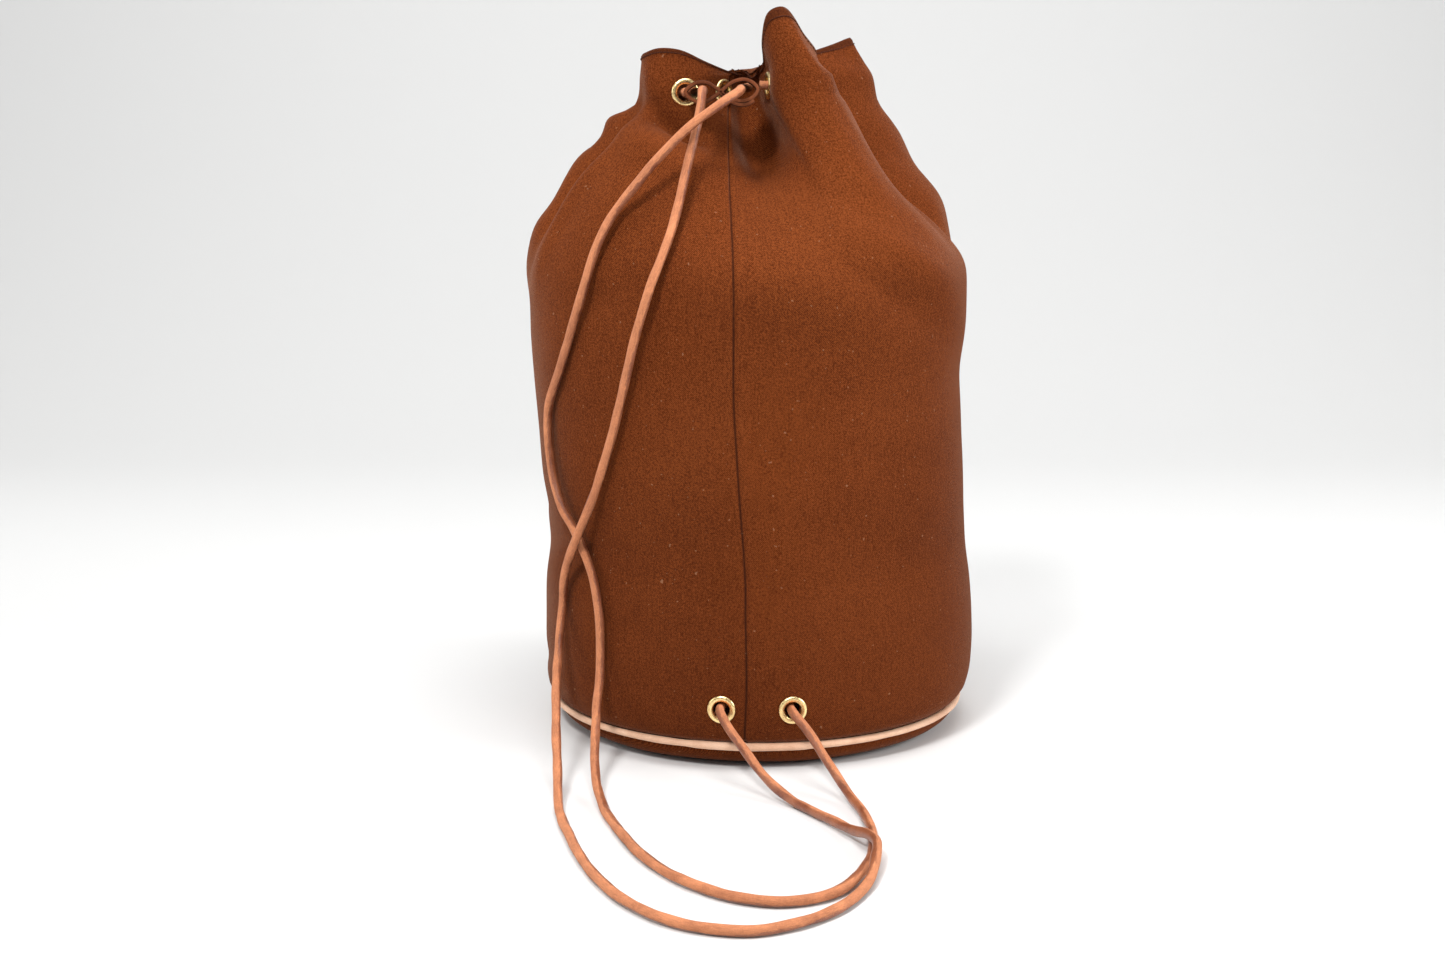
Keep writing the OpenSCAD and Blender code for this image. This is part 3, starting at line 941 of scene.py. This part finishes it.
# The eyelets' sizes in millimetres: bore, flange, barrel, washer, and the cloth that each row grips
EYELET_HOLE, EYELET_D, BARREL_T, WASHER_T = 9.2, 15.5, 0.5, 0.9
NECK_GRIP, LOWER_GRIP = 2.8, 4.1
LOWER_AZIMUTH = {"left": -100.0, "right": -82.5}
LOWER_Z = 36 * MM


def lower_station(azimuth: float) -> float:
    """Returns the station at a direction from the bag's middle."""
    return (azimuth - FIRST_AZIMUTH) / 360 * STATIONS


def body_level(z: float) -> float:
    """Returns the level at a height on the body."""
    return (z - FOOT_Z) / (SHOULDER_Z - FOOT_Z)


@dataclass
class Wall:
    """The canvas wall with its facing, seam tape and eyelet patch."""

    cloth: Cloth
    looks: Finishes

    def grid_piece(
        self, name: str, rows: slice, columns: np.ndarray, depth_out: float, depth_in: float, closed: bool,
        holes: list, hem: bool = False,
    ) -> Obj:
        """Makes a closed sheet between two depths inside the cloth's outer face.

        Args:
            name: The object's name.
            rows: Which levels it covers.
            columns: Which stations it covers, as column numbers in order.
            depth_out: Its outer face's depth, in metres.
            depth_in: Its inner face's depth.
            closed: Whether it goes right round.
            holes: Centres of the round holes in it.
            hem: Whether its top edge is doubled over.

        Returns:
            The object.
        """
        p, n = self.cloth.points[rows][:, columns], self.cloth.normals()[rows][:, columns]
        v = self.cloth.rise()[rows]
        m, k = p.shape[:2]
        inner_depth = np.full(m, depth_in)
        if hem:
            inner_depth = depth_in + 1.0 * MM * hem_share(v)
        outer = p - n * depth_out
        inner = p - n * inner_depth[:, None, None]
        if hem:
            outer[-1] -= n[-1] * 0.5 * MM
            inner[-1] += n[-1] * 0.7 * MM
        points = np.concatenate([outer.reshape(-1, 3), inner.reshape(-1, 3)])
        spans = k if closed else k - 1
        centre = (p + np.roll(p, -1, axis=1)) / 2
        centre = (centre[:-1] + centre[1:]) / 2
        open_face = np.ones((m - 1, k), bool)
        for hole in holes:
            open_face &= np.linalg.norm(centre - np.array(hole), axis=2) > (EYELET_HOLE / 2 + 0.9) * MM
        if not closed:
            open_face[:, -1] = False
        u = (self.cloth.stations[columns] - SEAM) * STATION_LENGTH
        u = np.where(u > GIRTH / 2, u - GIRTH, u)
        step = np.roll(u, -1) - u
        step = np.where(step < -0.1, step + GIRTH, step)
        faces, uv, size = [], [], m * k
        for j, i in np.argwhere(open_face):
            right = (i + 1) % k
            a, b, c, d = j * k + i, j * k + right, (j + 1) * k + right, (j + 1) * k + i
            corner = [(u[i], v[j]), (u[i] + step[i], v[j]), (u[i] + step[i], v[j + 1]), (u[i], v[j + 1])]
            faces.append((a, b, c, d))
            uv += corner
            faces.append((size + a, size + d, size + c, size + b))
            uv += [corner[0], corner[3], corner[2], corner[1]]
            # A rim wherever the sheet ends
            around = (a, b, c, d)
            for dj, di, e, f in ((-1, 0, 0, 1), (1, 0, 2, 3), (0, 1, 1, 2), (0, -1, 3, 0)):
                jj, ii = j + dj, (i + di) % k if closed else i + di
                if not (0 <= jj < m - 1 and 0 <= ii < spans and open_face[jj, ii]):
                    faces.append((around[e], size + around[e], size + around[f], around[f]))
                    uv += [corner[e], corner[e], corner[f], corner[f]]
        return drop_loose(new_piece(name, points, faces, uv))

    def between(self, low: float, high: float) -> slice:
        """Returns the rows between two levels."""
        return slice(*(int(np.searchsorted(self.cloth.levels, level)) for level in (low, high)))

    def build(self) -> None:
        """Builds the wall and the pieces sewn inside it."""
        every = np.arange(len(self.cloth.stations))
        eyelets = [self.cloth.at(s, EYELET_ROW)[0] for s in FOLD_STATION]
        lower = [self.cloth.at(lower_station(a), body_level(LOWER_Z))[0] for a in LOWER_AZIMUTH.values()]
        wall = self.grid_piece("bag_wall", slice(None), every, 0, CANVAS_T, True, eyelets + lower, hem=True)
        facing = self.grid_piece(
            "bag_mouth_facing", self.between(2.0, 3.55), every, CANVAS_T + 0.1 * MM, CANVAS_T + 1.2 * MM, True,
            eyelets,
        )
        tape = self.grid_piece(
            "bag_seam_tape", self.between(0, 1.85), self.near(SEAM, 0.4), CANVAS_T + 0.15 * MM,
            CANVAS_T + 0.95 * MM, False, lower,
        )
        rows = self.between(body_level(24 * MM), body_level(50 * MM))
        patch = self.grid_piece(
            "bag_eyelet_patch", rows, self.near(0.5, 2.1), CANVAS_T + 1.1 * MM, CANVAS_T + 2.3 * MM, False,
            lower,
        )
        declare(wall, Finish(Slot.CANVAS, ("wall_canvas",)), self.looks.wall)
        declare(facing, Finish(Slot.TAPE, ("mouth_facing",)), self.looks.tape)
        declare(tape, Finish(Slot.TAPE, ("seam_binding",)), self.looks.tape)
        declare(patch, Finish(Slot.CANVAS, ("eyelet_patch",)), self.looks.canvas)

    def near(self, station: float, reach: float) -> np.ndarray:
        """Returns the columns within reach stations of a station, in order."""
        off = np.mod(self.cloth.stations - station + STATIONS / 2, STATIONS) - STATIONS / 2
        found = np.where(np.abs(off) <= reach)[0]
        return found[np.argsort(off[found])]


@dataclass
class Base:
    """The round base, its piping and its binding, in millimetres and degrees."""

    looks: Finishes
    radius: float = 119.5
    seam_z: float = 13.5
    foot: float = 98.0
    piping: float = 2.0
    lap: tuple = (-108.5, -78.0)
    joint: float = -93.4
    steps: int = 180

    def build(self) -> None:
        """Builds the pieces."""
        self.build_disc()
        self.build_piping()
        binding = lathe(self.binding_profile(), 144, "bag_base_binding")
        declare(binding, Finish(Slot.TAPE, ("base_binding",)), self.looks.tape)
        dress_node("piping_core", self.looks.string)

    def disc_profile(self) -> list:
        """Returns the base's underside as (radius, height) points, from the middle out to the seam."""
        edge_r, edge_z = self.radius - 1, self.seam_z - 2.3
        bend = np.linspace(0.1, math.pi / 2, 14)
        return [
            *((r, 0.0) for r in np.linspace(8, self.foot, 14)),
            *((self.foot + (edge_r - self.foot) * math.sin(a), edge_z * (1 - math.cos(a))) for a in bend),
            (edge_r + 0.6, edge_z + 1.0), (edge_r + 0.4, edge_z + 1.9),
        ]

    def build_disc(self) -> None:
        """Builds the base's canvas, whose bulge below the piping is a little wavy."""
        steps, rise = self.steps, CANVAS_T * 0.9
        a = np.linspace(0, 2 * np.pi, steps, endpoint=False)
        rng = np.random.default_rng(7)
        wave = sum(rng.normal(0, 0.4207) * np.cos(k * a + rng.uniform(0, 6.28)) for k in range(3, 9))
        rings = []
        for r, z in self.disc_profile():
            lift = np.clip((r - self.foot) / 14, 0, 1) * 0.5
            rings.append(np.stack([r * np.cos(a), r * np.sin(a), np.maximum(z + wave * lift, 0.0)], axis=1))
        rings = np.array(rings) * MM
        top = rings.copy()
        top[:, :, 2] += rise
        reach = np.linalg.norm(rings[:, :, :2], axis=2, keepdims=True)
        top[:, :, :2] *= 1 - 0.8 * MM / np.maximum(reach, 0.02)
        points = np.concatenate([rings.reshape(-1, 3), top.reshape(-1, 3), [[0, 0, 0], [0, 0, rise]]])
        size = len(rings) * steps
        quads, under, over = ring_faces(len(rings), steps), 2 * size, 2 * size + 1
        here = np.arange(steps)
        after, edge = np.roll(here, -1), size - steps
        rim = np.stack([edge + here, edge + after, size + edge + after, size + edge + here], axis=1)
        fans = [(under, n, i) for i, n in zip(here, after)]
        fans += [(over, size + i, size + n) for i, n in zip(here, after)]
        faces = [*quads, *(flipped(quads) + size), *rim, *fans]
        disc = new_piece("bag_base", points, faces, [tuple(points[i][:2]) for f in faces for i in f])
        declare(disc, Finish(Slot.CANVAS, ("base_canvas",)), self.looks.canvas)

    def binding_profile(self) -> list:
        """Returns the folded tape's section."""
        r, z = self.radius - 10.2, self.seam_z
        section = (
            (5, 1.5), (-0.4, 1.6), (-1, 1.0), (-1, -1.0), (-0.4, -1.6), (5, -1.5), (5, -0.8), (0, -0.8),
            (0, 0.8), (5, 0.8),
        )
        return [(r + x, z + y) for x, y in section]

    def build_piping(self) -> None:
        """Builds the leather piping: a tube with fine creases, and a lap whose end shows as a joint."""
        steps, sides = 720, 18
        degrees = np.linspace(self.joint, self.joint + 360, steps, endpoint=False)
        a = np.radians(degrees)
        degrees = np.where(degrees > 180, degrees - 360, degrees)
        rng = np.random.default_rng(3)
        tone = sum(rng.normal(0, 0.045) * np.cos(k * a + rng.uniform(0, 6.28)) for k in range(5, 34, 3))
        crease = 0.06 * np.sin(a * 171 + 2 * np.sin(a * 13))
        lap = 1 / (1 + np.exp(-(degrees - self.lap[0]) / 0.5)) / (1 + np.exp((degrees - self.lap[1]) / 0.5))
        radius = self.piping + tone * 0.6 + crease * 0.5 + lap * 0.32 - 0.5 * swell(degrees, self.joint, 0.28)
        turn = np.linspace(0, 2 * np.pi, sides, endpoint=False)
        ring = self.radius + 0.2 + radius[:, None] * np.cos(turn)
        z = self.seam_z + radius[:, None] * np.sin(turn)
        points = np.stack([ring * np.cos(a)[:, None], ring * np.sin(a)[:, None], z], axis=2) * MM
        piece = new_piece("bag_piping", points.reshape(-1, 3), flipped(ring_faces(steps, sides, closed=True)))
        declare(piece, Finish(Slot.PIPING, ("piping_cover",)), self.looks.piping)


@dataclass
class Hardware:
    """The brass eyelets and their washers."""

    cloth: Cloth
    looks: Finishes

    @staticmethod
    def eyelet(name: str, grip: float) -> Obj:
        """Makes one eyelet, its flange's foot at z = 0."""
        r_in, r_out, low = EYELET_HOLE / 2, EYELET_D / 2, -grip - WASHER_T
        curl, quarter = 1.55, math.pi / 2
        crest = r_in + curl
        fall = r_out - crest
        profile = [
            *((crest - curl * math.cos(a), 0.55 + 0.95 * math.sin(a)) for a in np.linspace(0, quarter, 7)),
            *((crest + fall * math.sin(a), 0.3 + 1.2 * math.cos(a)) for a in np.linspace(0.2, quarter, 7)),
            (r_out - 0.1, 0.06), (r_in + BARREL_T, 0.05), (r_in + BARREL_T, low - 0.1),
            (r_in + 1.5, low - 0.2), (r_in + 1.35, low - 0.6), (r_in + 0.3, low - 0.55), (r_in, low),
        ]
        return lathe(profile[::-1], 56, name)

    @staticmethod
    def washer(name: str, grip: float) -> Obj:
        """Makes one washer."""
        inner, outer, low = EYELET_HOLE / 2 + BARREL_T + 0.05, EYELET_D / 2 - 0.25, -grip - WASHER_T
        high = low + WASHER_T
        return lathe([(inner, low), (outer, low), (outer, high - 0.1), (inner, high - 0.05)], 48, name)

    def places(self, where: list) -> list:
        """Returns the point, outward direction and upward direction at places on the cloth."""
        return [(*self.cloth.at(s, t), Vector((0, 0, 1))) for s, t in where]

    def build(self) -> None:
        """Builds every eyelet and washer."""
        kinds = (("eyelet", self.eyelet), ("washer", self.washer))
        neck = self.places([(s, EYELET_ROW) for s in FOLD_STATION])
        for kind, make in kinds:
            self.set_row(f"neck_{kind}_ring", make, NECK_GRIP, neck, f"neck_{kind}s")
        for side, azimuth in LOWER_AZIMUTH.items():
            place = self.places([(lower_station(azimuth), body_level(LOWER_Z))])
            for kind, make in kinds:
                self.set_row(f"brass_lower_{kind}_{side}", make, LOWER_GRIP, place, f"lower_{kind}_{side}")

    def set_row(self, name: str, make: Callable, grip: float, places: list, node: str) -> None:
        """Puts one kind of ring at places on the cloth.

        Args:
            name: The object's name.
            make: What makes the ring.
            grip: How much cloth it grips, in millimetres.
            places: Where the rings go, as places() gives them.
            node: The node that they stand for.
        """
        piece = scatter(name, make(name + "_one", grip), places, self.looks.brass)
        declare(piece, Finish(Slot.BRASS, (node,)), self.looks.brass)


ROUTE_LEFT = (
    (-19, -109, 36), (-21, -118, 36), (-22, -129, 36), (-18, -138, 31), (-10, -148, 22), (2, -162, 10),
    (16, -179, 3), (32, -204, 3), (44, -228, 5), (50, -242, 8), (53, -254, 9), (52, -268, 8), (49, -284, 5),
    (41, -306, 3), (28, -326, 3), (10, -341, 3), (-8, -348, 3), (-28, -345, 3), (-47, -334, 3),
    (-64, -314, 3), (-83, -274, 3), (-96, -228, 3), (-104, -190, 3), (-107, -160, 12), (-110, -130, 28),
    (-112, -100, 46), (-112, -76, 62), (-111, -66, 78), (-109, -70, 98), (-102, -85, 120), (-93, -94, 142),
    (-84, -101, 168), (-77, -108, 193), (-66, -118, 238), (-58, -122, 264), (-50, -116, 284),
    (-44, -105, 304), (-39, -96, 326), (-34, -90, 346), (-32, -84, 358), (-31.5, -76, 364),
    (-31.5, -60, 364), (-33, -56, 364), (-37, -52, 364),
)
ROUTE_RIGHT = (
    (15, -109, 36), (16, -118, 36), (17, -130, 36), (24, -140, 30), (35, -155, 16), (44, -172, 6),
    (51, -198, 3), (53, -230, 3), (50, -258, 3), (42, -284, 3), (28, -306, 3), (8, -315, 3), (-13, -310, 3),
    (-34, -294, 3), (-54, -266, 3), (-71, -224, 3), (-82, -184, 3), (-87, -158, 8), (-89, -134, 20),
    (-89, -112, 36), (-88, -98, 53), (-88, -96, 71), (-90, -92, 92), (-95, -83, 108), (-102, -76, 123),
    (-110, -69, 136), (-117, -60, 162), (-118, -60, 188), (-110, -76, 214), (-101, -89, 241),
    (-93, -98, 266), (-86, -99, 286), (-77, -97, 302), (-64, -97, 318), (-50, -98, 334), (-36, -98, 347),
    (-22, -94, 357), (-13, -86, 363), (-11, -76, 365), (-11, -60, 365), (-11, -55, 365), (-10, -49, 366),
    (-6, -43, 367),
)
# The neck's eyelets in the order in which the cord runs through them, from the left strand to the right one
NECK_WAY = (8, 7, 6, 5, 4, 3, 2, 1)
CORD_D = 5 * MM
CORD_SIDES = 20
CORD_STEP = 1.6 * MM


def even_line(points: np.ndarray, gap: float) -> np.ndarray:
    """Spaces points evenly on a smooth curve.

    Args:
        points: The points that the curve runs through.
        gap: About how far apart the new points are, in metres.

    Returns:
        The new points.
    """
    p = np.asarray(points, float)
    chord = np.concatenate([[0], np.cumsum(np.linalg.norm(np.diff(p, axis=0), axis=1))])
    dense = hermite(chord, p, np.linspace(0, chord[-1], len(p) * 40))
    run = np.concatenate([[0], np.cumsum(np.linalg.norm(np.diff(dense, axis=0), axis=1))])
    count = max(8, int(run[-1] / gap))
    at = np.linspace(0, run[-1], count)
    return np.stack([np.interp(at, run, dense[:, k]) for k in range(3)], axis=1)


@dataclass
class Cord:
    """The one leather cord, as its two free strands, the stretch at the neck and the two knots."""

    looks: Finishes

    def strand(self, side: str, route: tuple, seed: int) -> None:
        """Builds one free strand.

        Args:
            side: Its side, left or right.
            route: The places that it runs through, in millimetres, from its knot to the slider.
            seed: The seed of its unevenness.
        """
        line = even_line(np.array(route, float) * MM, CORD_STEP)
        # It rests on the floor where its route is lowest
        line[:, 2] = np.maximum(line[:, 2], 2.6 * MM)
        piece = sweep(line, self.girth(len(line), seed), CORD_SIDES, f"cord_strand_{side}")
        declare(piece, Finish(Slot.CORD, (f"cord_{side}",)), self.looks.cord)

    @staticmethod
    def girth(count: int, seed: int) -> np.ndarray:
        """Makes the girth of a hand-cut cord, which isn't quite even.

        Args:
            count: How many rings the cord has.
            seed: The seed of its unevenness.

        Returns:
            The radius at each ring and side.
        """
        rng = np.random.default_rng(seed)
        at = np.linspace(0, 1, count)[:, None]
        turn = np.linspace(0, 2 * np.pi, CORD_SIDES, endpoint=False)[None, :]
        wave = sum(
            rng.normal(0, 0.014)
            * np.cos(2 * np.pi * at * rng.uniform(6, 60) + m * turn + rng.uniform(0, 6.28))
            for m in (0, 1, 2, 2, 3, 4) for _ in range(3)
        )
        return CORD_D / 2 * (0.985 + wave)

    def build(self, cloth: Cloth) -> None:
        """Builds the strands and the neck's stretch, and dresses the frame's knots."""
        for side in ("left", "right"):
            dress_node(f"knot_{side}", self.looks.cord)
        self.strand("left", ROUTE_LEFT, 11)
        self.strand("right", ROUTE_RIGHT, 12)
        route = []
        for k, i in enumerate(NECK_WAY):
            point, out = cloth.at(FOLD_STATION[i], EYELET_ROW)
            side = 1 if k % 2 == 0 else -1
            route += [point + out * 5 * MM * way for way in (side, -side)]
        line = even_line(np.array([tuple(p) for p in route]), CORD_STEP)
        piece = sweep(line, self.girth(len(line), 13), CORD_SIDES, "cord_neck")
        declare(piece, Finish(Slot.CORD, ("neck_cord",)), self.looks.cord)


# The slider's middle line, seen from the front: x and z in millimetres, from its right end to its waist
SLIDER_LINE = (
    (-3.6, 359.0), (-7.5, 356.9), (-12.5, 356.8), (-17.5, 359.6), (-21.5, 364.2), (-24.5, 366.6),
    (-29.0, 369.3), (-34.0, 369.4), (-38.2, 367.2), (-40.6, 363.8), (-38.6, 360.6), (-34.5, 358.5),
    (-29.5, 358.7), (-25.0, 361.4), (-21.5, 364.2), (-18.0, 367.6), (-14.0, 370.2), (-9.0, 371.2),
    (-4.4, 369.4), (-1.6, 365.6), (-3.4, 361.8), (-8.0, 359.2), (-13.4, 359.2), (-18.0, 361.4),
    (-21.5, 363.2),
)


@dataclass
class Slider:
    """The slider: one strip bent into a figure of eight and sewn at its waist, in millimetres."""

    looks: Finishes
    front: float = -67.0
    length: float = 13.0
    thick: float = 2.1
    corner: float = 0.55
    waist: tuple = (-21.5, 364.0)
    flatten: float = 0.08
    deeper: float = 6.0

    def section(self) -> list:
        """Returns the strip's section, with rounded corners, as points of a depth and a place along Y."""
        half, r = self.thick / 2 * MM, self.corner * MM
        y0, y1 = self.front * MM, (self.front + self.length) * MM
        quarter = ((0, r), (r * 0.3, r * 0.3), (r, 0))
        return [
            *((-half + x, y0 + y) for x, y in quarter), *((half - x, y0 + y) for x, y in quarter[::-1]),
            *((half - x, y1 - y) for x, y in quarter), *((-half + x, y1 - y) for x, y in quarter[::-1]),
        ]

    def build(self) -> None:
        """Builds the strip, whose right loop runs further back at its rear edge, and dresses its stitches."""
        line = even_line(np.insert(np.array(SLIDER_LINE), 1, 0, axis=1) * MM, 0.5 * MM)
        line[:, 2] += (self.waist[1] * MM - line[:, 2]) * self.flatten
        tangent = np.gradient(line, axis=0)
        tangent /= np.linalg.norm(tangent, axis=1, keepdims=True)
        normal = np.stack([-tangent[:, 2], np.zeros(len(line)), tangent[:, 0]], axis=1)
        deeper = np.clip((line[:, 0] / MM - self.waist[0]) / 12, 0, 1) * self.deeper * MM
        section = self.section()
        rear = (self.front + self.length / 2) * MM
        points = [
            tuple(line[i] + normal[i] * off + np.array((0, y + (deeper[i] if y > rear else 0), 0)))
            for i in range(len(line)) for off, y in section
        ]
        m, n = len(section), len(line)
        ends = [tuple(range(m))[::-1], tuple((n - 1) * m + k for k in range(m))]
        piece = new_piece("slider_eight", points, [*ring_faces(n, m).tolist(), *ends])
        declare(piece, Finish(Slot.SLIDER, ("slider_strip",), Body.SLIDER), self.looks.slider)
        # Painted shade on the strip's broad faces; its cut front and rear edges carry the leather's own brown
        piece.data.materials.append(self.looks.slider_edge)
        raw = [int(k in (1, 2, 3, 7, 8, 9)) for _ in range(n - 1) for k in range(m)] + [1, 1]
        piece.data.polygons.foreach_set("material_index", raw)
        dress_node("slider_stitching", self.looks.thread)


def stitch_piece(name: str, length: float, thick: float) -> Obj:
    """Makes one stitch: a short rounded bead that lies along X and dips at both ends.

    Args:
        name: The object's name.
        length: Its length in metres.
        thick: Its thickness in metres.

    Returns:
        The object.
    """
    at = np.linspace(-1, 1, 9)
    line = np.stack([at * length / 2, np.zeros(9), thick * 0.35 * (1 - at**2) - thick * 0.1], axis=1)
    return sweep(line, thick / 2 * np.sqrt(np.maximum(1.04 - at**2, 0.05)), 6, name)


@dataclass
class Stitching:
    """The hem's row of stitches, outside and inside."""

    cloth: Cloth
    looks: Finishes
    pitch: float = 2.9 * MM
    length: float = 1.9 * MM
    thick: float = 0.7 * MM

    def build(self) -> None:
        """Builds the rows."""
        count = int(GIRTH / self.pitch)
        v = self.cloth.rise()
        level = float(np.interp(v[-1] - HEM_FOLD + STITCH_INSET, v, self.cloth.levels))
        rows = {"outside": [], "inside": []}
        for k in range(count):
            s = SEAM + (k + 0.5) * STATIONS / count
            point, out = self.cloth.at(s, level)
            along = self.cloth.at(s + 0.05, level)[0] - self.cloth.at(s - 0.05, level)[0]
            rows["outside"].append((point + out * 0.12 * MM, out, along))
            rows["inside"].append((point - out * (CANVAS_T + 1.1 * MM), -out, along))
        for side, places in rows.items():
            stitch = stitch_piece(f"stitch_{side}", self.length, self.thick)
            piece = scatter(f"hem_stitches_{side}", stitch, places, self.looks.thread)
            declare(piece, Finish(Slot.THREAD), self.looks.thread)


# ---- The camera, the lights and the floor ----


@dataclass(frozen=True)
class Lamp:
    """A square area light: where it is, where it faces, its side in metres and its power in watts."""

    name: str
    place: tuple
    aim: tuple
    size: float
    watts: float


LAMPS = (
    Lamp("overhead", (0.05, -0.45, 1.9), (0, 0, 0.2), 0.9, 18.0),
    Lamp("key", (-0.5, -1.2, 1.5), (0, 0, 0.3), 0.3, 21.0),
    Lamp("side", (1.5, -0.5, 0.8), (0, 0, 0.25), 0.8, 19.0),
    Lamp("side_left", (-1.6, -0.3, 0.8), (0, 0, 0.25), 0.8, 6.0),
    Lamp("backdrop", (0.0, 0.6, 2.4), (0, 1.8, 0.6), 2.0, 14.0),
)


@dataclass(frozen=True)
class Studio:
    """The camera, the lights and the floor."""

    camera_at: tuple = (-0.0206, -1.169, 0.345)
    pitch: float = 10.0
    lens: float = 50.0
    sensor: float = 36.0
    sky: float = 0.30
    floor_tone: tuple = (0.76, 0.76, 0.755)

    def build_camera(self) -> None:
        """Places the camera."""
        data = bpy.data.cameras.new("camera")
        data.lens, data.sensor_width = self.lens, self.sensor
        camera = bpy.data.objects.new("camera", data)
        camera.location = self.camera_at
        camera.rotation_euler = (math.radians(90 - self.pitch), 0, 0)
        bpy.context.scene.collection.objects.link(camera)
        bpy.context.scene.camera = camera

    @staticmethod
    def build_lamp(lamp: Lamp) -> None:
        """Adds one light."""
        data = bpy.data.lights.new(lamp.name, "AREA")
        data.size, data.energy = lamp.size, lamp.watts
        obj = bpy.data.objects.new(lamp.name, data)
        obj.location = lamp.place
        obj.rotation_euler = (Vector(lamp.aim) - Vector(lamp.place)).to_track_quat("-Z", "Y").to_euler()
        bpy.context.scene.collection.objects.link(obj)

    def build(self) -> None:
        """Builds the lights, the world and the floor."""
        scene = bpy.context.scene
        scene.view_settings.view_transform = "Standard"
        world = bpy.data.worlds.new("studio")
        world.use_nodes = True
        background = world.node_tree.nodes["Background"]
        background.inputs["Color"].default_value = (1.0, 1.0, 1.0, 1.0)
        background.inputs["Strength"].default_value = self.sky
        scene.world = world
        for lamp in LAMPS:
            self.build_lamp(lamp)
        self.build_floor()

    def build_floor(self) -> None:
        """Builds the pale floor, which curves up into the backdrop behind the bag."""
        turn = np.linspace(0, math.pi / 2, 16)
        curve = [(0.9 + 1.2 * math.sin(a), 1.2 * (1 - math.cos(a))) for a in turn]
        line = [(-3.0, 0.0), *curve, (2.1, 4.0)]
        points = [(x, y, z - 0.0002) for y, z in line for x in (-4.0, 4.0)]
        faces = [(2 * k, 2 * k + 1, 2 * k + 3, 2 * k + 2) for k in range(len(line) - 1)]
        floor = new_piece("floor", points, faces)
        floor.data.materials.append(shell("pale_floor", 0.6, Base_Color=self.floor_tone)[0])


def main() -> None:
    """Builds the bag in order."""
    studio = Studio()
    studio.build_camera()
    looks = Finishes()
    cloth = fine_cloth()
    Cord(looks).build(cloth)
    Wall(cloth, looks).build()
    Base(looks).build()
    Hardware(cloth, looks).build()
    Slider(looks).build()
    Stitching(cloth, looks).build()
    studio.build()


if __name__ == "__main__":
    logging.basicConfig(level=logging.INFO)
    main()
